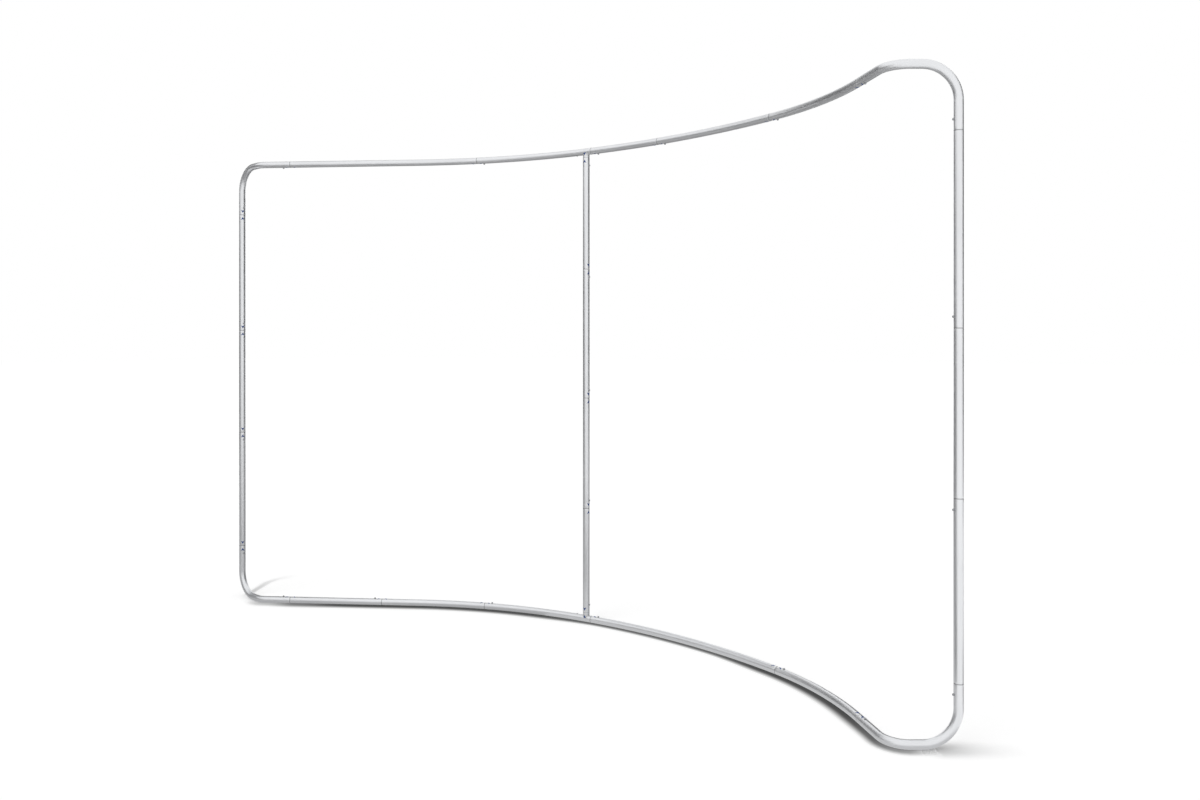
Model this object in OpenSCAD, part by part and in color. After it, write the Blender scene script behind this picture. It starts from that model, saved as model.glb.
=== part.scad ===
// Curved knock-down tube frame of a fabric display backwall.
// Millimetres. +Z is up, X runs along the width, and the hollow of the curve
// opens toward -Y. The origin is the bottom centre of the bounding box.
// Along a rail, s is the arc length from the middle post, positive to the right.

/* [Frame] */
// Height from the floor to the top of the top rail
frame_h = 2286; // [2150:1:2450]

/* [Tube] */
// Outside diameter of every tube
tube_d = 32; // [28:0.5:36]
// Wall of every tube
tube_wall = 1.2; // [1:0.1:1.6]
// Length of the reduced end that slides into the next tube
spigot_l = 60; // [52:1:70]
// Radial clearance between a reduced end and the tube around it
slip_gap = 0.2; // [0.1:0.05:0.3]
// Width of the shallow groove at each seam
seam_groove = 1.6; // [1:0.1:3]

/* [Rail curve, right of the middle post] */
// Radius of the long stretch beside the middle post
mid_r = 2550; // [2400:10:2800]
// Arc length from the middle post to where the curve tightens
mid_arc = 1040; // [1005:5:1120]
// Radius of the tighter end
end_r = 1150; // [1080:10:1300]
// Arc length of the tighter end
end_arc = 530; // [500:5:580]
// Straight length between the end of the curve and the corner seam
seam_lead = 15; // [5:1:30]

/* [Rail curve, left of the middle post] */
// Radius of the left curve
left_r = 2060; // [1900:10:2300]
// Arc length of the left curve; the rest of the left half is straight
left_arc = 920; // [780:5:980]

/* [Rail tubes] */
// Top rail, from the middle post left to the end of the tee tube
top_tee_l = 600; // [520:1:700]
// Top rail, the tube to the right of the tee tube
top_middle_l = 374; // [300:1:420]
// Top rail, the next tube to the right
top_right_l = 622; // [560:1:680]
// Bottom rail, from the middle post left to the end of the tee tube
bottom_tee_l = 557; // [480:1:640]
// Bottom rail, the tube to the left of the tee tube
bottom_left_l = 544; // [460:1:600]
// Bottom rail, the tube to the right of the tee tube
bottom_right_l = 1031; // [940:1:1120]
// How far each tee tube runs past the axis of the middle post
tee_lead = 30; // [28:1:40]
// Length of the tee stub, from the axis of the rail to its seam
stub_l = 30; // [26:1:40]

/* [Corner tubes] */
// Straight length of a corner tube from its rail seam to its bend
corner_run = 135; // [115:1:160]
// Angle of the flat bend of a right corner tube
corner_turn = 80; // [74:0.5:88]
// Angle of the flat bend of a left corner tube
left_corner_turn = 37; // [32:0.5:44]
// Centreline radius of the flat bend
corner_r = 85; // [70:1:110]
// Straight length between the flat bend and the elbow
corner_link = 40; // [25:1:60]
// Centreline radius of the elbow
elbow_r = 120; // [100:1:130]
// Top left corner, from the rail axis to the post seam
top_left_leg = 243; // [220:1:300]
// Top right corner, from the rail axis to the post seam
top_right_leg = 221; // [212:1:280]
// Bottom left corner, from the rail axis to the post seam
bottom_left_leg = 252; // [220:1:300]
// Bottom right corner, from the rail axis to the post seam
bottom_right_leg = 203; // [202:1:260]

/* [Post tubes] */
// Left post, length of the upper tube
left_upper_l = 614; // [500:1:700]
// Left post, length of the lower tube
left_lower_l = 603; // [500:1:700]
// Right post, length of the upper tube
right_upper_l = 654; // [540:1:720]
// Right post, length of the lower tube
right_lower_l = 612; // [500:1:700]
// Middle post, length of the top tube
middle_top_l = 538; // [440:1:620]
// Middle post, length of the lower tube
middle_lower_l = 532; // [440:1:620]
// Middle post, length of the bottom tube
middle_bottom_l = 503; // [420:1:600]

/* [Snap buttons] */
// Diameter of a button
button_d = 8; // [6:0.5:9]
// Height of a button above the tube
button_out = 5.5; // [4:0.5:7]
// Distance from a seam to its button
button_back = 38; // [34:1:42]
// Radial clearance of a button in its holes
button_gap = 0.15; // [0.1:0.05:0.3]
// Width of the spring strip behind a button
strip_w = 8; // [6:0.5:10]
// Thickness of the spring strip
strip_t = 0.8; // [0.6:0.1:1]

/* [Alignment arrows] */
// Width of an arrow, measured across the tube
arrow_w = 18; // [14:0.5:20]
// Length of an arrow along the tube
arrow_l = 16; // [12:0.5:18]
// Distance from a seam to the middle of its arrows
arrow_back = 19; // [16:0.5:22]
// Thickness of the arrow film
film_t = 0.06; // [0.04:0.01:0.07]

/* [Tee rivets] */
// Diameter of a rivet head
rivet_d = 7; // [5:0.5:9]
// Distance from the middle post's axis to a rivet
rivet_back = 51; // [42:1:70]

/* [Hidden] */
$fn = 96;

// Colours
alloy = [0.78, 0.79, 0.8];
steel = [0.6, 0.61, 0.63];
blue = [0.08, 0.22, 0.62];

// Sections of the tubes
tube_id = tube_d - 2 * tube_wall;
spigot_d = tube_id - 2 * slip_gap;
spigot_id = spigot_d - 2 * tube_wall;
// The collar joins a spigot to its tube: its outside lies inside the tube's wall
collar_d = tube_d - 0.8 * tube_wall;
collar_relief = 0.2;
collar_id = spigot_id + 2 * collar_relief;
collar_l = 6;
collar_lap = 1;
// Gap between the end of an outer tube and its seam
seam_gap = 0.1;
// A bend is drawn down a little and runs on into the straight tube beside it
bend_draw = 0.16;
bend_lap = 1;
// How far a cutting tool runs past what it cuts
cut = 2;

// Heights of the rail axes
bottom_z = tube_d / 2;
top_z = frame_h - tube_d / 2;

// A half of the frame is named by the sign of its X. The right half has a long
// stretch and a tighter end. The left half has one curve and then runs straight.
arc_end = mid_arc + end_arc;
rail_half = arc_end + seam_lead;
function curve_r(side) = side < 0 ? left_r : end_r;
function curve_start(side) = side < 0 ? 0 : mid_arc;
function curve_stop(side) = side < 0 ? left_arc : arc_end;
function flat_turn(side) = side < 0 ? left_corner_turn : corner_turn;

// Turns of the rails, in degrees
function arc_deg(l, r) = l / r * 180 / PI;
function mid_turn_at(a) = arc_deg(a, mid_r);
function start_turn(side) = mid_turn_at(curve_start(side));
function curve_turn(a, side) = start_turn(side) + arc_deg(a - curve_start(side), curve_r(side));
function end_turn(side) = curve_turn(curve_stop(side), side);
function leg_turn(side) = flat_turn(side) - end_turn(side);

// A half of the rail axis: distance to its side and distance to the front
function mid_x(a) = mid_r * sin(mid_turn_at(a));
function mid_fwd(a) = mid_r * (1 - cos(mid_turn_at(a)));
function curve_dx(a, side) = sin(curve_turn(a, side)) - sin(start_turn(side));
function curve_dfwd(a, side) = cos(start_turn(side)) - cos(curve_turn(a, side));
function curve_x(a, side) = mid_x(curve_start(side)) + curve_r(side) * curve_dx(a, side);
function curve_fwd(a, side) = mid_fwd(curve_start(side)) + curve_r(side) * curve_dfwd(a, side);
function end_x(side) = curve_x(curve_stop(side), side);
function end_fwd(side) = curve_fwd(curve_stop(side), side);
function lead_x(a, side) = end_x(side) + (a - curve_stop(side)) * cos(end_turn(side));
function lead_fwd(a, side) = end_fwd(side) + (a - curve_stop(side)) * sin(end_turn(side));
function outer_x(a, side) = a <= curve_stop(side) ? curve_x(a, side) : lead_x(a, side);
function outer_fwd(a, side) = a <= curve_stop(side) ? curve_fwd(a, side) : lead_fwd(a, side);
function outer_turn(a, side) = curve_turn(min(a, curve_stop(side)), side);
function half_x(a, side) = a <= curve_start(side) ? mid_x(a) : outer_x(a, side);
function half_fwd(a, side) = a <= curve_start(side) ? mid_fwd(a) : outer_fwd(a, side);
function half_turn(a, side) = a <= curve_start(side) ? mid_turn_at(a) : outer_turn(a, side);

// The flat bend of a corner, and the axis of an end post
leg_reach = corner_link + elbow_r;
function bend_x(side) = lead_x(rail_half + corner_run, side);
function bend_fwd(side) = lead_fwd(rail_half + corner_run, side);
function bend_dx(side) = corner_r * (sin(end_turn(side)) + sin(leg_turn(side)));
function bend_dfwd(side) = corner_r * (cos(leg_turn(side)) - cos(end_turn(side)));
function leg_x(side) = bend_x(side) + bend_dx(side);
function leg_fwd(side) = bend_fwd(side) + bend_dfwd(side);
function post_x(side) = leg_x(side) + leg_reach * cos(leg_turn(side));
function post_fwd(side) = leg_fwd(side) - leg_reach * sin(leg_turn(side));
front_fwd = bend_fwd(1) + corner_r * (1 - cos(end_turn(1)));

// The box runs from the back of the middle tubes to the front of the right bends,
// and its middle lies half way between the end posts
mid_y = front_fwd / 2;
middle_x = (post_x(-1) - post_x(1)) / 2;
function y_of(fwd) = mid_y - fwd;
function rail_x(s) = sign(s) * half_x(abs(s), sign(s));
function rail_y(s) = y_of(half_fwd(abs(s), sign(s)));
function rail_heading(s) = -sign(s) * half_turn(abs(s), sign(s));

// Seams of the rails from left to right, and the side that the outer tube is on
top_seams = [
  -rail_half,
  -top_tee_l,
  tee_lead,
  tee_lead + top_middle_l,
  tee_lead + top_middle_l + top_right_l,
  rail_half
];
top_sides = [-1, 1, 1, 1, 1, 1];
bottom_seams = [
  -rail_half,
  -bottom_tee_l - bottom_left_l,
  -bottom_tee_l,
  tee_lead,
  tee_lead + bottom_right_l,
  rail_half
];
bottom_sides = [-1, -1, 1, 1, 1, 1];
rail_joints = [0, 1, 2, 3, 4, 5];
// The third top joint and the fourth bottom joint stand beside a tee stub
top_tee_joint = 2;
bottom_tee_joint = 3;

// Seams of the posts from the top down, and the side that the outer tube is on
left_seams = [
  top_z - top_left_leg,
  top_z - top_left_leg - left_upper_l,
  bottom_z + bottom_left_leg + left_lower_l,
  bottom_z + bottom_left_leg
];
right_seams = [
  top_z - top_right_leg,
  top_z - top_right_leg - right_upper_l,
  bottom_z + bottom_right_leg + right_lower_l,
  bottom_z + bottom_right_leg
];
middle_seams = [
  top_z - stub_l,
  top_z - stub_l - middle_top_l,
  bottom_z + stub_l + middle_bottom_l + middle_lower_l,
  bottom_z + stub_l + middle_bottom_l,
  bottom_z + stub_l
];
end_sides = [1, 1, -1, -1];
middle_sides = [-1, -1, 1, 1, 1];
end_joints = [0, 1, 2, 3];
middle_joints = [0, 1, 2, 3, 4];

// Directions that the buttons and arrows face, as angles from +X
function end_face(side) = leg_turn(side) + 180;
middle_face = 0;
front_face = -90;
// Turn of an end post's arrows from the direction of its buttons
left_arrow_turn = 20;
right_arrow_turn = -48;
function end_arrow_face(side) =
  end_face(side) + (side < 0 ? left_arrow_turn : right_arrow_turn);
middle_arrow_face = -15;
middle_arrow_faces = [
  front_face,
  middle_arrow_face,
  middle_arrow_face,
  middle_arrow_face,
  front_face
];

// Spring strip: the radius of its outer faces in the bore, and its lengths
strip_gap = 0.25;
strip_r = sqrt(pow(spigot_id / 2, 2) - pow(strip_w / 2, 2)) - strip_gap;
strip_tail = 10;
strip_front = 14;
strip_step = 0.4;
strip_stub = 2;
clip_bend = strip_front + strip_step + strip_stub;
clip_draw = 0.1;
clip_lap = 0.4;

// Buttons, rivets and arrows
hole_d = button_d + 2 * button_gap;
dome_r = 0.625 * button_d;
// The film lies flat on a straight tube, and a little proud on a curved one
post_film_gap = 0.01;
rail_film_gap = 0.08;
// It is wrapped round the tube in narrow flats
film_flats = 12;
film_margin = 1;
film_turn = 2 * asin(min(0.95, (arrow_w + film_margin) / tube_d));
arrow_notch = 0.3 * arrow_l;
// Clearance between an arrow on a tee stub and the rail beside it
film_trim = 0.3;
rivet_h = 2;
rivet_tail = 1;
rivet_shank_d = 4;
rivet_gap = 0.1;
rivet_lift = 0.02;
// The stub of a tee is a little under the size of the rail that it is welded to
stub_draw = 0.4;

// How far a tube's full diameter stops short of a seam, and where its button sits
function end_inset(male) = male ? seam_groove : seam_gap;
function button_inset(male) = male ? -button_back : button_back;

// ---- Sections ----

module ring_section(od, id) {
  difference() {
    circle(d = od);
    circle(d = id);
  }
}

// A ring along +X, from x = a to x = b
module ring_x(a, b, od, id) {
  translate([a, 0, 0])
    rotate([0, 90, 0])
      difference() {
        cylinder(h = b - a, d = od);
        translate([0, 0, -cut])
          cylinder(h = b - a + 2 * cut, d = id);
      }
}

// A ring along +Z, from z = a to z = b
module ring_z(a, b, od, id) {
  translate([0, 0, a])
    difference() {
      cylinder(h = b - a, d = od);
      translate([0, 0, -cut])
        cylinder(h = b - a + 2 * cut, d = id);
    }
}

// ---- Rails ----

module mid_ring(s0, s1, od, id) {
  translate([0, mid_y - mid_r, 0])
    rotate_extrude(angle = arc_deg(s1 - s0, mid_r), start = 90 - arc_deg(s1, mid_r))
      translate([mid_r, 0])
        ring_section(od, id);
}

// A curve of one half, drawn down, running on into both neighbours
module curve_ring(a0, a1, side, od, id) {
  r = curve_r(side);
  lo = a0 <= curve_start(side) ? curve_start(side) - bend_lap : a0;
  hi = a1 >= curve_stop(side) ? curve_stop(side) + bend_lap : a1;
  r_step = mid_r - r;
  start_deg = start_turn(side);
  translate([r_step * sin(start_deg), mid_y - mid_r + r_step * cos(start_deg), 0])
    rotate_extrude(angle = arc_deg(hi - lo, r), start = 90 - curve_turn(hi, side))
      translate([r, 0])
        ring_section(od - bend_draw, id + bend_draw);
}

module lead_ring(a0, a1, side, od, id) {
  translate([end_x(side), y_of(end_fwd(side)), 0])
    rotate([0, 0, -end_turn(side)])
      ring_x(a0 - curve_stop(side), a1 - curve_stop(side), od, id);
}

module half_ring(a0, a1, side, od, id) {
  b0 = max(a0, curve_start(side));
  b1 = min(a1, curve_stop(side));
  c0 = max(a0, curve_stop(side));
  if (b1 > b0) curve_ring(b0, b1, side, od, id);
  if (a1 > c0) lead_ring(c0, a1, side, od, id);
}

// A ring that follows the rail's axis from s0 to s1
module rail_ring(s0, s1, od, id) {
  m0 = max(s0, 0);
  m1 = min(s1, mid_arc);
  if (m1 > m0) mid_ring(m0, m1, od, id);
  half_ring(s0, s1, 1, od, id);
  mirror([1, 0, 0])
    half_ring(-s1, -s0, -1, od, id);
}

// Places its children on the rail's axis: +X toward the given side, +Z outward
module on_rail(s, facing, toward) {
  translate([rail_x(s), rail_y(s), 0])
    rotate([0, 0, rail_heading(s) + (toward > 0 ? 0 : 180)])
      rotate([facing > 0 ? 0 : 180, 0, 0])
        children();
}

// A button hole: along +Z, through one side of the tube
module button_hole() {
  translate([0, 0, strip_r - cut])
    cylinder(h = tube_d / 2 - strip_r + 2 * cut, d = hole_d);
}

module rivet_hole() {
  translate([0, 0, tube_id / 2 - cut])
    cylinder(h = tube_wall + 2 * cut, d = rivet_shank_d + 2 * rivet_gap);
}

// The body of a rail tube and its reduced ends
module rail_shell(s0, s1, male_0, male_1) {
  rail_ring(s0 + end_inset(male_0), s1 - end_inset(male_1), tube_d, tube_id);
  if (male_0) {
    rail_ring(s0, s0 + collar_l, collar_d, collar_id);
    rail_ring(s0 - spigot_l, s0 + collar_l + collar_lap, spigot_d, spigot_id);
  }
  if (male_1) {
    rail_ring(s1 - collar_l, s1, collar_d, collar_id);
    rail_ring(s1 - collar_l - collar_lap, s1 + spigot_l, spigot_d, spigot_id);
  }
}

// A rail tube from seam s0 to seam s1; its buttons face up or down
module rail_tube(s0, s1, male_0, male_1, facing) {
  difference() {
    rail_shell(s0, s1, male_0, male_1);
    on_rail(s0 + button_inset(male_0), facing, 1)
      button_hole();
    on_rail(s1 - button_inset(male_1), facing, 1)
      button_hole();
  }
}

// A tee tube, with its stub standing up
module tee_tube(s0) {
  difference() {
    union() {
      rail_tube(s0, tee_lead, false, true, 1);
      translate([0, mid_y, 0])
        tee_stub();
    }
    on_rail(-rivet_back, 1, 1)
      rivet_hole();
  }
}

// The stub is coped to the rail: its foot ends half way into the rail's wall
module tee_stub() {
  difference() {
    union() {
      ring_z(0, stub_l - seam_groove, tube_d - stub_draw, tube_id);
      ring_z(stub_l - collar_l, stub_l, collar_d - stub_draw, collar_id);
      ring_z(stub_l - collar_l - collar_lap, stub_l + spigot_l, spigot_d, spigot_id);
    }
    translate([-tube_d, 0, 0])
      rotate([0, 90, 0])
        cylinder(h = 2 * tube_d, d = tube_d - tube_wall);
    translate([0, 0, stub_l + button_back])
      rotate([0, 0, middle_face])
        rotate([0, 90, 0])
          button_hole();
  }
}

module on_top() {
  translate([middle_x, 0, top_z])
    mirror([0, 0, 1])
      children();
}

module on_bottom() {
  translate([middle_x, 0, bottom_z])
    children();
}

// ---- Corners ----

// A ring bent about +Z: it starts at the origin along +X and turns left
module bend_left(r, angle, od, id) {
  lap = arc_deg(bend_lap, r);
  translate([0, r, 0])
    rotate_extrude(angle = angle + 2 * lap, start = -90 - lap)
      translate([r, 0])
        ring_section(od - bend_draw, id + bend_draw);
}

// A corner tube, with its leg standing up. Its flat bend turns by the given angle.
module corner_shell(leg, turn) {
  ring_x(seam_gap, corner_run, tube_d, tube_id);
  translate([corner_run, 0, 0])
    bend_left(corner_r, turn, tube_d, tube_id);
  corner_leg_place(turn)
    ring_x(0, corner_link, tube_d, tube_id);
  corner_leg_place(turn)
    translate([corner_link, 0, 0])
      rotate([90, 0, 0])
        bend_left(elbow_r, 90, tube_d, tube_id);
  corner_leg_place(turn)
    translate([leg_reach, 0, 0])
      ring_z(elbow_r, leg - seam_gap, tube_d, tube_id);
}

// Places its children where the flat bend ends, with +X along the leg
module corner_leg_place(turn) {
  translate([corner_run + corner_r * sin(turn), corner_r * (1 - cos(turn)), 0])
    rotate([0, 0, turn])
      children();
}

module corner_tube(leg, side) {
  turn = flat_turn(side);
  translate([half_x(rail_half, side), y_of(half_fwd(rail_half, side)), 0])
    rotate([0, 0, -end_turn(side)])
      difference() {
        corner_shell(leg, turn);
        translate([button_back, 0, 0])
          button_hole();
        corner_leg_place(turn)
          translate([leg_reach, 0, leg - button_back])
            rotate([0, -90, 0])
              button_hole();
      }
}

// ---- Posts ----

// Places its children on the axis of an end post, mirrored on the left
module at_end_post(side) {
  translate([middle_x, y_of(post_fwd(side)), 0])
    mirror([side < 0 ? 1 : 0, 0, 0])
      translate([post_x(side), 0, 0])
        children();
}

module at_middle_post() {
  translate([middle_x, mid_y, 0])
    children();
}

// Places its children on a post's axis: +X toward the given end, +Z outward
module on_post(z, face, toward) {
  translate([0, 0, z])
    rotate([0, 0, face])
      rotate([0, 90, 0])
        rotate([0, 0, toward > 0 ? 180 : 0])
          children();
}

module post_shell(z0, z1, male_0, male_1) {
  ring_z(z0 + end_inset(male_0), z1 - end_inset(male_1), tube_d, tube_id);
  if (male_0) {
    ring_z(z0, z0 + collar_l, collar_d, collar_id);
    ring_z(z0 - spigot_l, z0 + collar_l + collar_lap, spigot_d, spigot_id);
  }
  if (male_1) {
    ring_z(z1 - collar_l, z1, collar_d, collar_id);
    ring_z(z1 - collar_l - collar_lap, z1 + spigot_l, spigot_d, spigot_id);
  }
}

// A post tube from seam z0 up to seam z1; its buttons face the given way
module post_tube(z0, z1, male_0, male_1, face) {
  difference() {
    post_shell(z0, z1, male_0, male_1);
    on_post(z0 + button_inset(male_0), face, 1)
      button_hole();
    on_post(z1 - button_inset(male_1), face, 1)
      button_hole();
  }
}

// ---- Snap buttons, spring clips, arrows and rivets ----

// A round-topped pin along +Z, from z = a to z = b
module domed_pin(a, b, d) {
  difference() {
    translate([0, 0, a])
      cylinder(h = b - a, d = d);
    difference() {
      translate([0, 0, b - dome_r / 2])
        cylinder(h = dome_r, d = d + 2 * cut);
      translate([0, 0, b - dome_r])
        sphere(r = dome_r);
    }
  }
}

// The moving piece: a button on the arm of its spring strip
module snap_button() {
  domed_pin(strip_r - strip_t / 2, tube_d / 2 + button_out, button_d);
  translate([-strip_tail, -strip_w / 2, strip_r - strip_t])
    cube([strip_tail + strip_front, strip_w, strip_t]);
}

// The fixed piece: the arm on the far wall, the bend, and the root of the near arm
module spring_clip() {
  translate([-strip_tail, -strip_w / 2, -strip_r])
    cube([strip_tail + clip_bend + clip_lap, strip_w, strip_t]);
  translate([strip_front + strip_step, -strip_w / 2, strip_r - strip_t])
    cube([strip_stub + clip_lap, strip_w, strip_t]);
  translate([clip_bend, 0, 0])
    rotate([90, 0, 0])
      rotate_extrude(angle = 180, start = -90)
        translate([strip_r - strip_t - clip_draw / 2, -strip_w / 2 - clip_draw / 2])
          square([strip_t + clip_draw, strip_w + clip_draw]);
}

// Points of the flats whose faces lie at radius r, from one side to the other
function flat_angle(k) = film_turn * (k / film_flats - 0.5);
function flat_r(r) = r / cos(film_turn / film_flats / 2);
function flat_point(r, k) = [flat_r(r) * cos(flat_angle(k)), flat_r(r) * sin(flat_angle(k))];

// A strip of film along X, on the +Z side of the tube
module film_strip(film_gap) {
  inner_r = tube_d / 2 + film_gap;
  rotate([0, -90, 0])
    translate([0, 0, -arrow_l])
      linear_extrude(height = 2 * arrow_l)
        polygon([
          for (k = [0 : film_flats]) flat_point(inner_r + film_t, k),
          for (k = [film_flats : -1 : 0]) flat_point(inner_r, k)
        ]);
}

// One arrow of thin film, wrapped on the tube and pointing along +X
module arrow(film_gap) {
  half_l = arrow_l / 2;
  half_w = arrow_w / 2;
  intersection() {
    film_strip(film_gap);
    linear_extrude(height = tube_d)
      polygon([[half_l, 0], [-half_l, half_w], [arrow_notch - half_l, 0], [-half_l, -half_w]]);
  }
}

module rivet() {
  head_z = tube_d / 2 + rivet_lift;
  difference() {
    translate([0, 0, head_z])
      cylinder(h = rivet_h, d = rivet_d);
    difference() {
      translate([0, 0, head_z - cut])
        cylinder(h = rivet_h + 2 * cut, d = rivet_d + 2 * cut);
      translate([0, 0, head_z + rivet_h - rivet_d])
        sphere(r = rivet_d);
    }
  }
  translate([0, 0, tube_id / 2 - rivet_tail])
    cylinder(h = rivet_tail + tube_wall + rivet_h / 2, d = rivet_shank_d);
}

// ---- Placing them at the joints; on a rail they face its inner side ----

module rail_button_at(seams, sides, i) {
  on_rail(seams[i] + sides[i] * button_back, 1, -sides[i])
    children();
}

module rail_arrow_at(seams, i, side) {
  on_rail(seams[i] + side * arrow_back, 1, -side)
    arrow(rail_film_gap);
}

module post_button_at(seams, sides, i, face) {
  on_post(seams[i] + sides[i] * button_back, face, -sides[i])
    children();
}

module post_arrow_at(seams, i, side, face) {
  on_post(seams[i] + side * arrow_back, face, -side)
    arrow(post_film_gap);
}

module top_button(i) {
  color(steel)
    on_top()
      rail_button_at(top_seams, top_sides, i)
        snap_button();
}

module bottom_button(i) {
  color(steel)
    on_bottom()
      rail_button_at(bottom_seams, bottom_sides, i)
        snap_button();
}

module left_button(i) {
  color(steel)
    at_end_post(-1)
      post_button_at(left_seams, end_sides, i, end_face(-1))
        snap_button();
}

module middle_button(i) {
  color(steel)
    at_middle_post()
      post_button_at(middle_seams, middle_sides, i, middle_face)
        snap_button();
}

module right_button(i) {
  color(steel)
    at_end_post(1)
      post_button_at(right_seams, end_sides, i, end_face(1))
        snap_button();
}

// ---- Top rail ----

module top_rail_far_left() {
  color(alloy)
    on_top()
      rail_tube(top_seams[0], top_seams[1], true, true, 1);
}

module top_rail_tee() {
  color(alloy)
    on_top()
      tee_tube(top_seams[1]);
}

module top_rail_middle_right() {
  color(alloy)
    on_top()
      rail_tube(top_seams[2], top_seams[3], false, true, 1);
}

module top_rail_right() {
  color(alloy)
    on_top()
      rail_tube(top_seams[3], top_seams[4], false, true, 1);
}

module top_rail_far_right() {
  color(alloy)
    on_top()
      rail_tube(top_seams[4], top_seams[5], false, true, 1);
}

// ---- Bottom rail ----

module bottom_rail_far_left() {
  color(alloy)
    on_bottom()
      rail_tube(bottom_seams[0], bottom_seams[1], true, false, 1);
}

module bottom_rail_left() {
  color(alloy)
    on_bottom()
      rail_tube(bottom_seams[1], bottom_seams[2], true, true, 1);
}

module bottom_rail_tee() {
  color(alloy)
    on_bottom()
      tee_tube(bottom_seams[2]);
}

module bottom_rail_right() {
  color(alloy)
    on_bottom()
      rail_tube(bottom_seams[3], bottom_seams[4], false, true, 1);
}

module bottom_rail_far_right() {
  color(alloy)
    on_bottom()
      rail_tube(bottom_seams[4], bottom_seams[5], false, true, 1);
}

// ---- Corners ----

module corner_top_left() {
  color(alloy)
    on_top()
      mirror([1, 0, 0])
        corner_tube(top_left_leg, -1);
}

module corner_top_right() {
  color(alloy)
    on_top()
      corner_tube(top_right_leg, 1);
}

module corner_bottom_left() {
  color(alloy)
    on_bottom()
      mirror([1, 0, 0])
        corner_tube(bottom_left_leg, -1);
}

module corner_bottom_right() {
  color(alloy)
    on_bottom()
      corner_tube(bottom_right_leg, 1);
}

// ---- Posts ----

module left_post_upper() {
  color(alloy)
    at_end_post(-1)
      post_tube(left_seams[1], left_seams[0], false, true, end_face(-1));
}

module left_post_middle() {
  color(alloy)
    at_end_post(-1)
      post_tube(left_seams[2], left_seams[1], true, true, end_face(-1));
}

module left_post_lower() {
  color(alloy)
    at_end_post(-1)
      post_tube(left_seams[3], left_seams[2], true, false, end_face(-1));
}

module middle_post_top() {
  color(alloy)
    at_middle_post()
      post_tube(middle_seams[1], middle_seams[0], true, false, middle_face);
}

module middle_post_upper() {
  color(alloy)
    at_middle_post()
      post_tube(middle_seams[2], middle_seams[1], false, false, middle_face);
}

module middle_post_lower() {
  color(alloy)
    at_middle_post()
      post_tube(middle_seams[3], middle_seams[2], false, true, middle_face);
}

module middle_post_bottom() {
  color(alloy)
    at_middle_post()
      post_tube(middle_seams[4], middle_seams[3], false, true, middle_face);
}

module right_post_upper() {
  color(alloy)
    at_end_post(1)
      post_tube(right_seams[1], right_seams[0], false, true, end_face(1));
}

module right_post_middle() {
  color(alloy)
    at_end_post(1)
      post_tube(right_seams[2], right_seams[1], true, true, end_face(1));
}

module right_post_lower() {
  color(alloy)
    at_end_post(1)
      post_tube(right_seams[3], right_seams[2], true, false, end_face(1));
}

// ---- Spring clips ----

module spring_clips_top_rail() {
  color(steel)
    on_top()
      for (i = rail_joints)
        rail_button_at(top_seams, top_sides, i)
          spring_clip();
}

module spring_clips_bottom_rail() {
  color(steel)
    on_bottom()
      for (i = rail_joints)
        rail_button_at(bottom_seams, bottom_sides, i)
          spring_clip();
}

module spring_clips_posts() {
  color(steel) {
    at_end_post(-1)
      for (i = end_joints)
        post_button_at(left_seams, end_sides, i, end_face(-1))
          spring_clip();
    at_middle_post()
      for (i = middle_joints)
        post_button_at(middle_seams, middle_sides, i, middle_face)
          spring_clip();
    at_end_post(1)
      for (i = end_joints)
        post_button_at(right_seams, end_sides, i, end_face(1))
          spring_clip();
  }
}

// ---- Arrows; the seam beside a tee stub has one on its right side only ----

module arrows_top_rail() {
  color(blue)
    on_top()
      for (i = rail_joints) {
        rail_arrow_at(top_seams, i, 1);
        if (i != top_tee_joint) rail_arrow_at(top_seams, i, -1);
      }
}

module arrows_bottom_rail() {
  color(blue)
    on_bottom()
      for (i = rail_joints) {
        rail_arrow_at(bottom_seams, i, 1);
        if (i != bottom_tee_joint) rail_arrow_at(bottom_seams, i, -1);
      }
}

module arrows_left_post() {
  color(blue)
    at_end_post(-1)
      for (i = end_joints) {
        post_arrow_at(left_seams, i, 1, end_arrow_face(-1));
        post_arrow_at(left_seams, i, -1, end_arrow_face(-1));
      }
}

// The arrows on the tee stubs are trimmed beside the rails
module arrows_middle_post() {
  color(blue)
    at_middle_post()
      difference() {
        for (i = middle_joints) {
          post_arrow_at(middle_seams, i, 1, middle_arrow_faces[i]);
          post_arrow_at(middle_seams, i, -1, middle_arrow_faces[i]);
        }
        for (z = [bottom_z, top_z])
          translate([-tube_d, 0, z])
            rotate([0, 90, 0])
              cylinder(h = 2 * tube_d, d = tube_d + 2 * film_trim);
      }
}

module arrows_right_post() {
  color(blue)
    at_end_post(1)
      for (i = end_joints) {
        post_arrow_at(right_seams, i, 1, end_arrow_face(1));
        post_arrow_at(right_seams, i, -1, end_arrow_face(1));
      }
}

// ---- Rivets ----

module tee_rivets() {
  color(alloy) {
    on_top()
      on_rail(-rivet_back, 1, 1)
        rivet();
    on_bottom()
      on_rail(-rivet_back, 1, 1)
        rivet();
  }
}

// ---- Buttons ----

module button_top_rail_1() {
  top_button(0);
}

module button_top_rail_2() {
  top_button(1);
}

module button_top_rail_3() {
  top_button(2);
}

module button_top_rail_4() {
  top_button(3);
}

module button_top_rail_5() {
  top_button(4);
}

module button_top_rail_6() {
  top_button(5);
}

module button_bottom_rail_1() {
  bottom_button(0);
}

module button_bottom_rail_2() {
  bottom_button(1);
}

module button_bottom_rail_3() {
  bottom_button(2);
}

module button_bottom_rail_4() {
  bottom_button(3);
}

module button_bottom_rail_5() {
  bottom_button(4);
}

module button_bottom_rail_6() {
  bottom_button(5);
}

module button_left_post_1() {
  left_button(0);
}

module button_left_post_2() {
  left_button(1);
}

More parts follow.
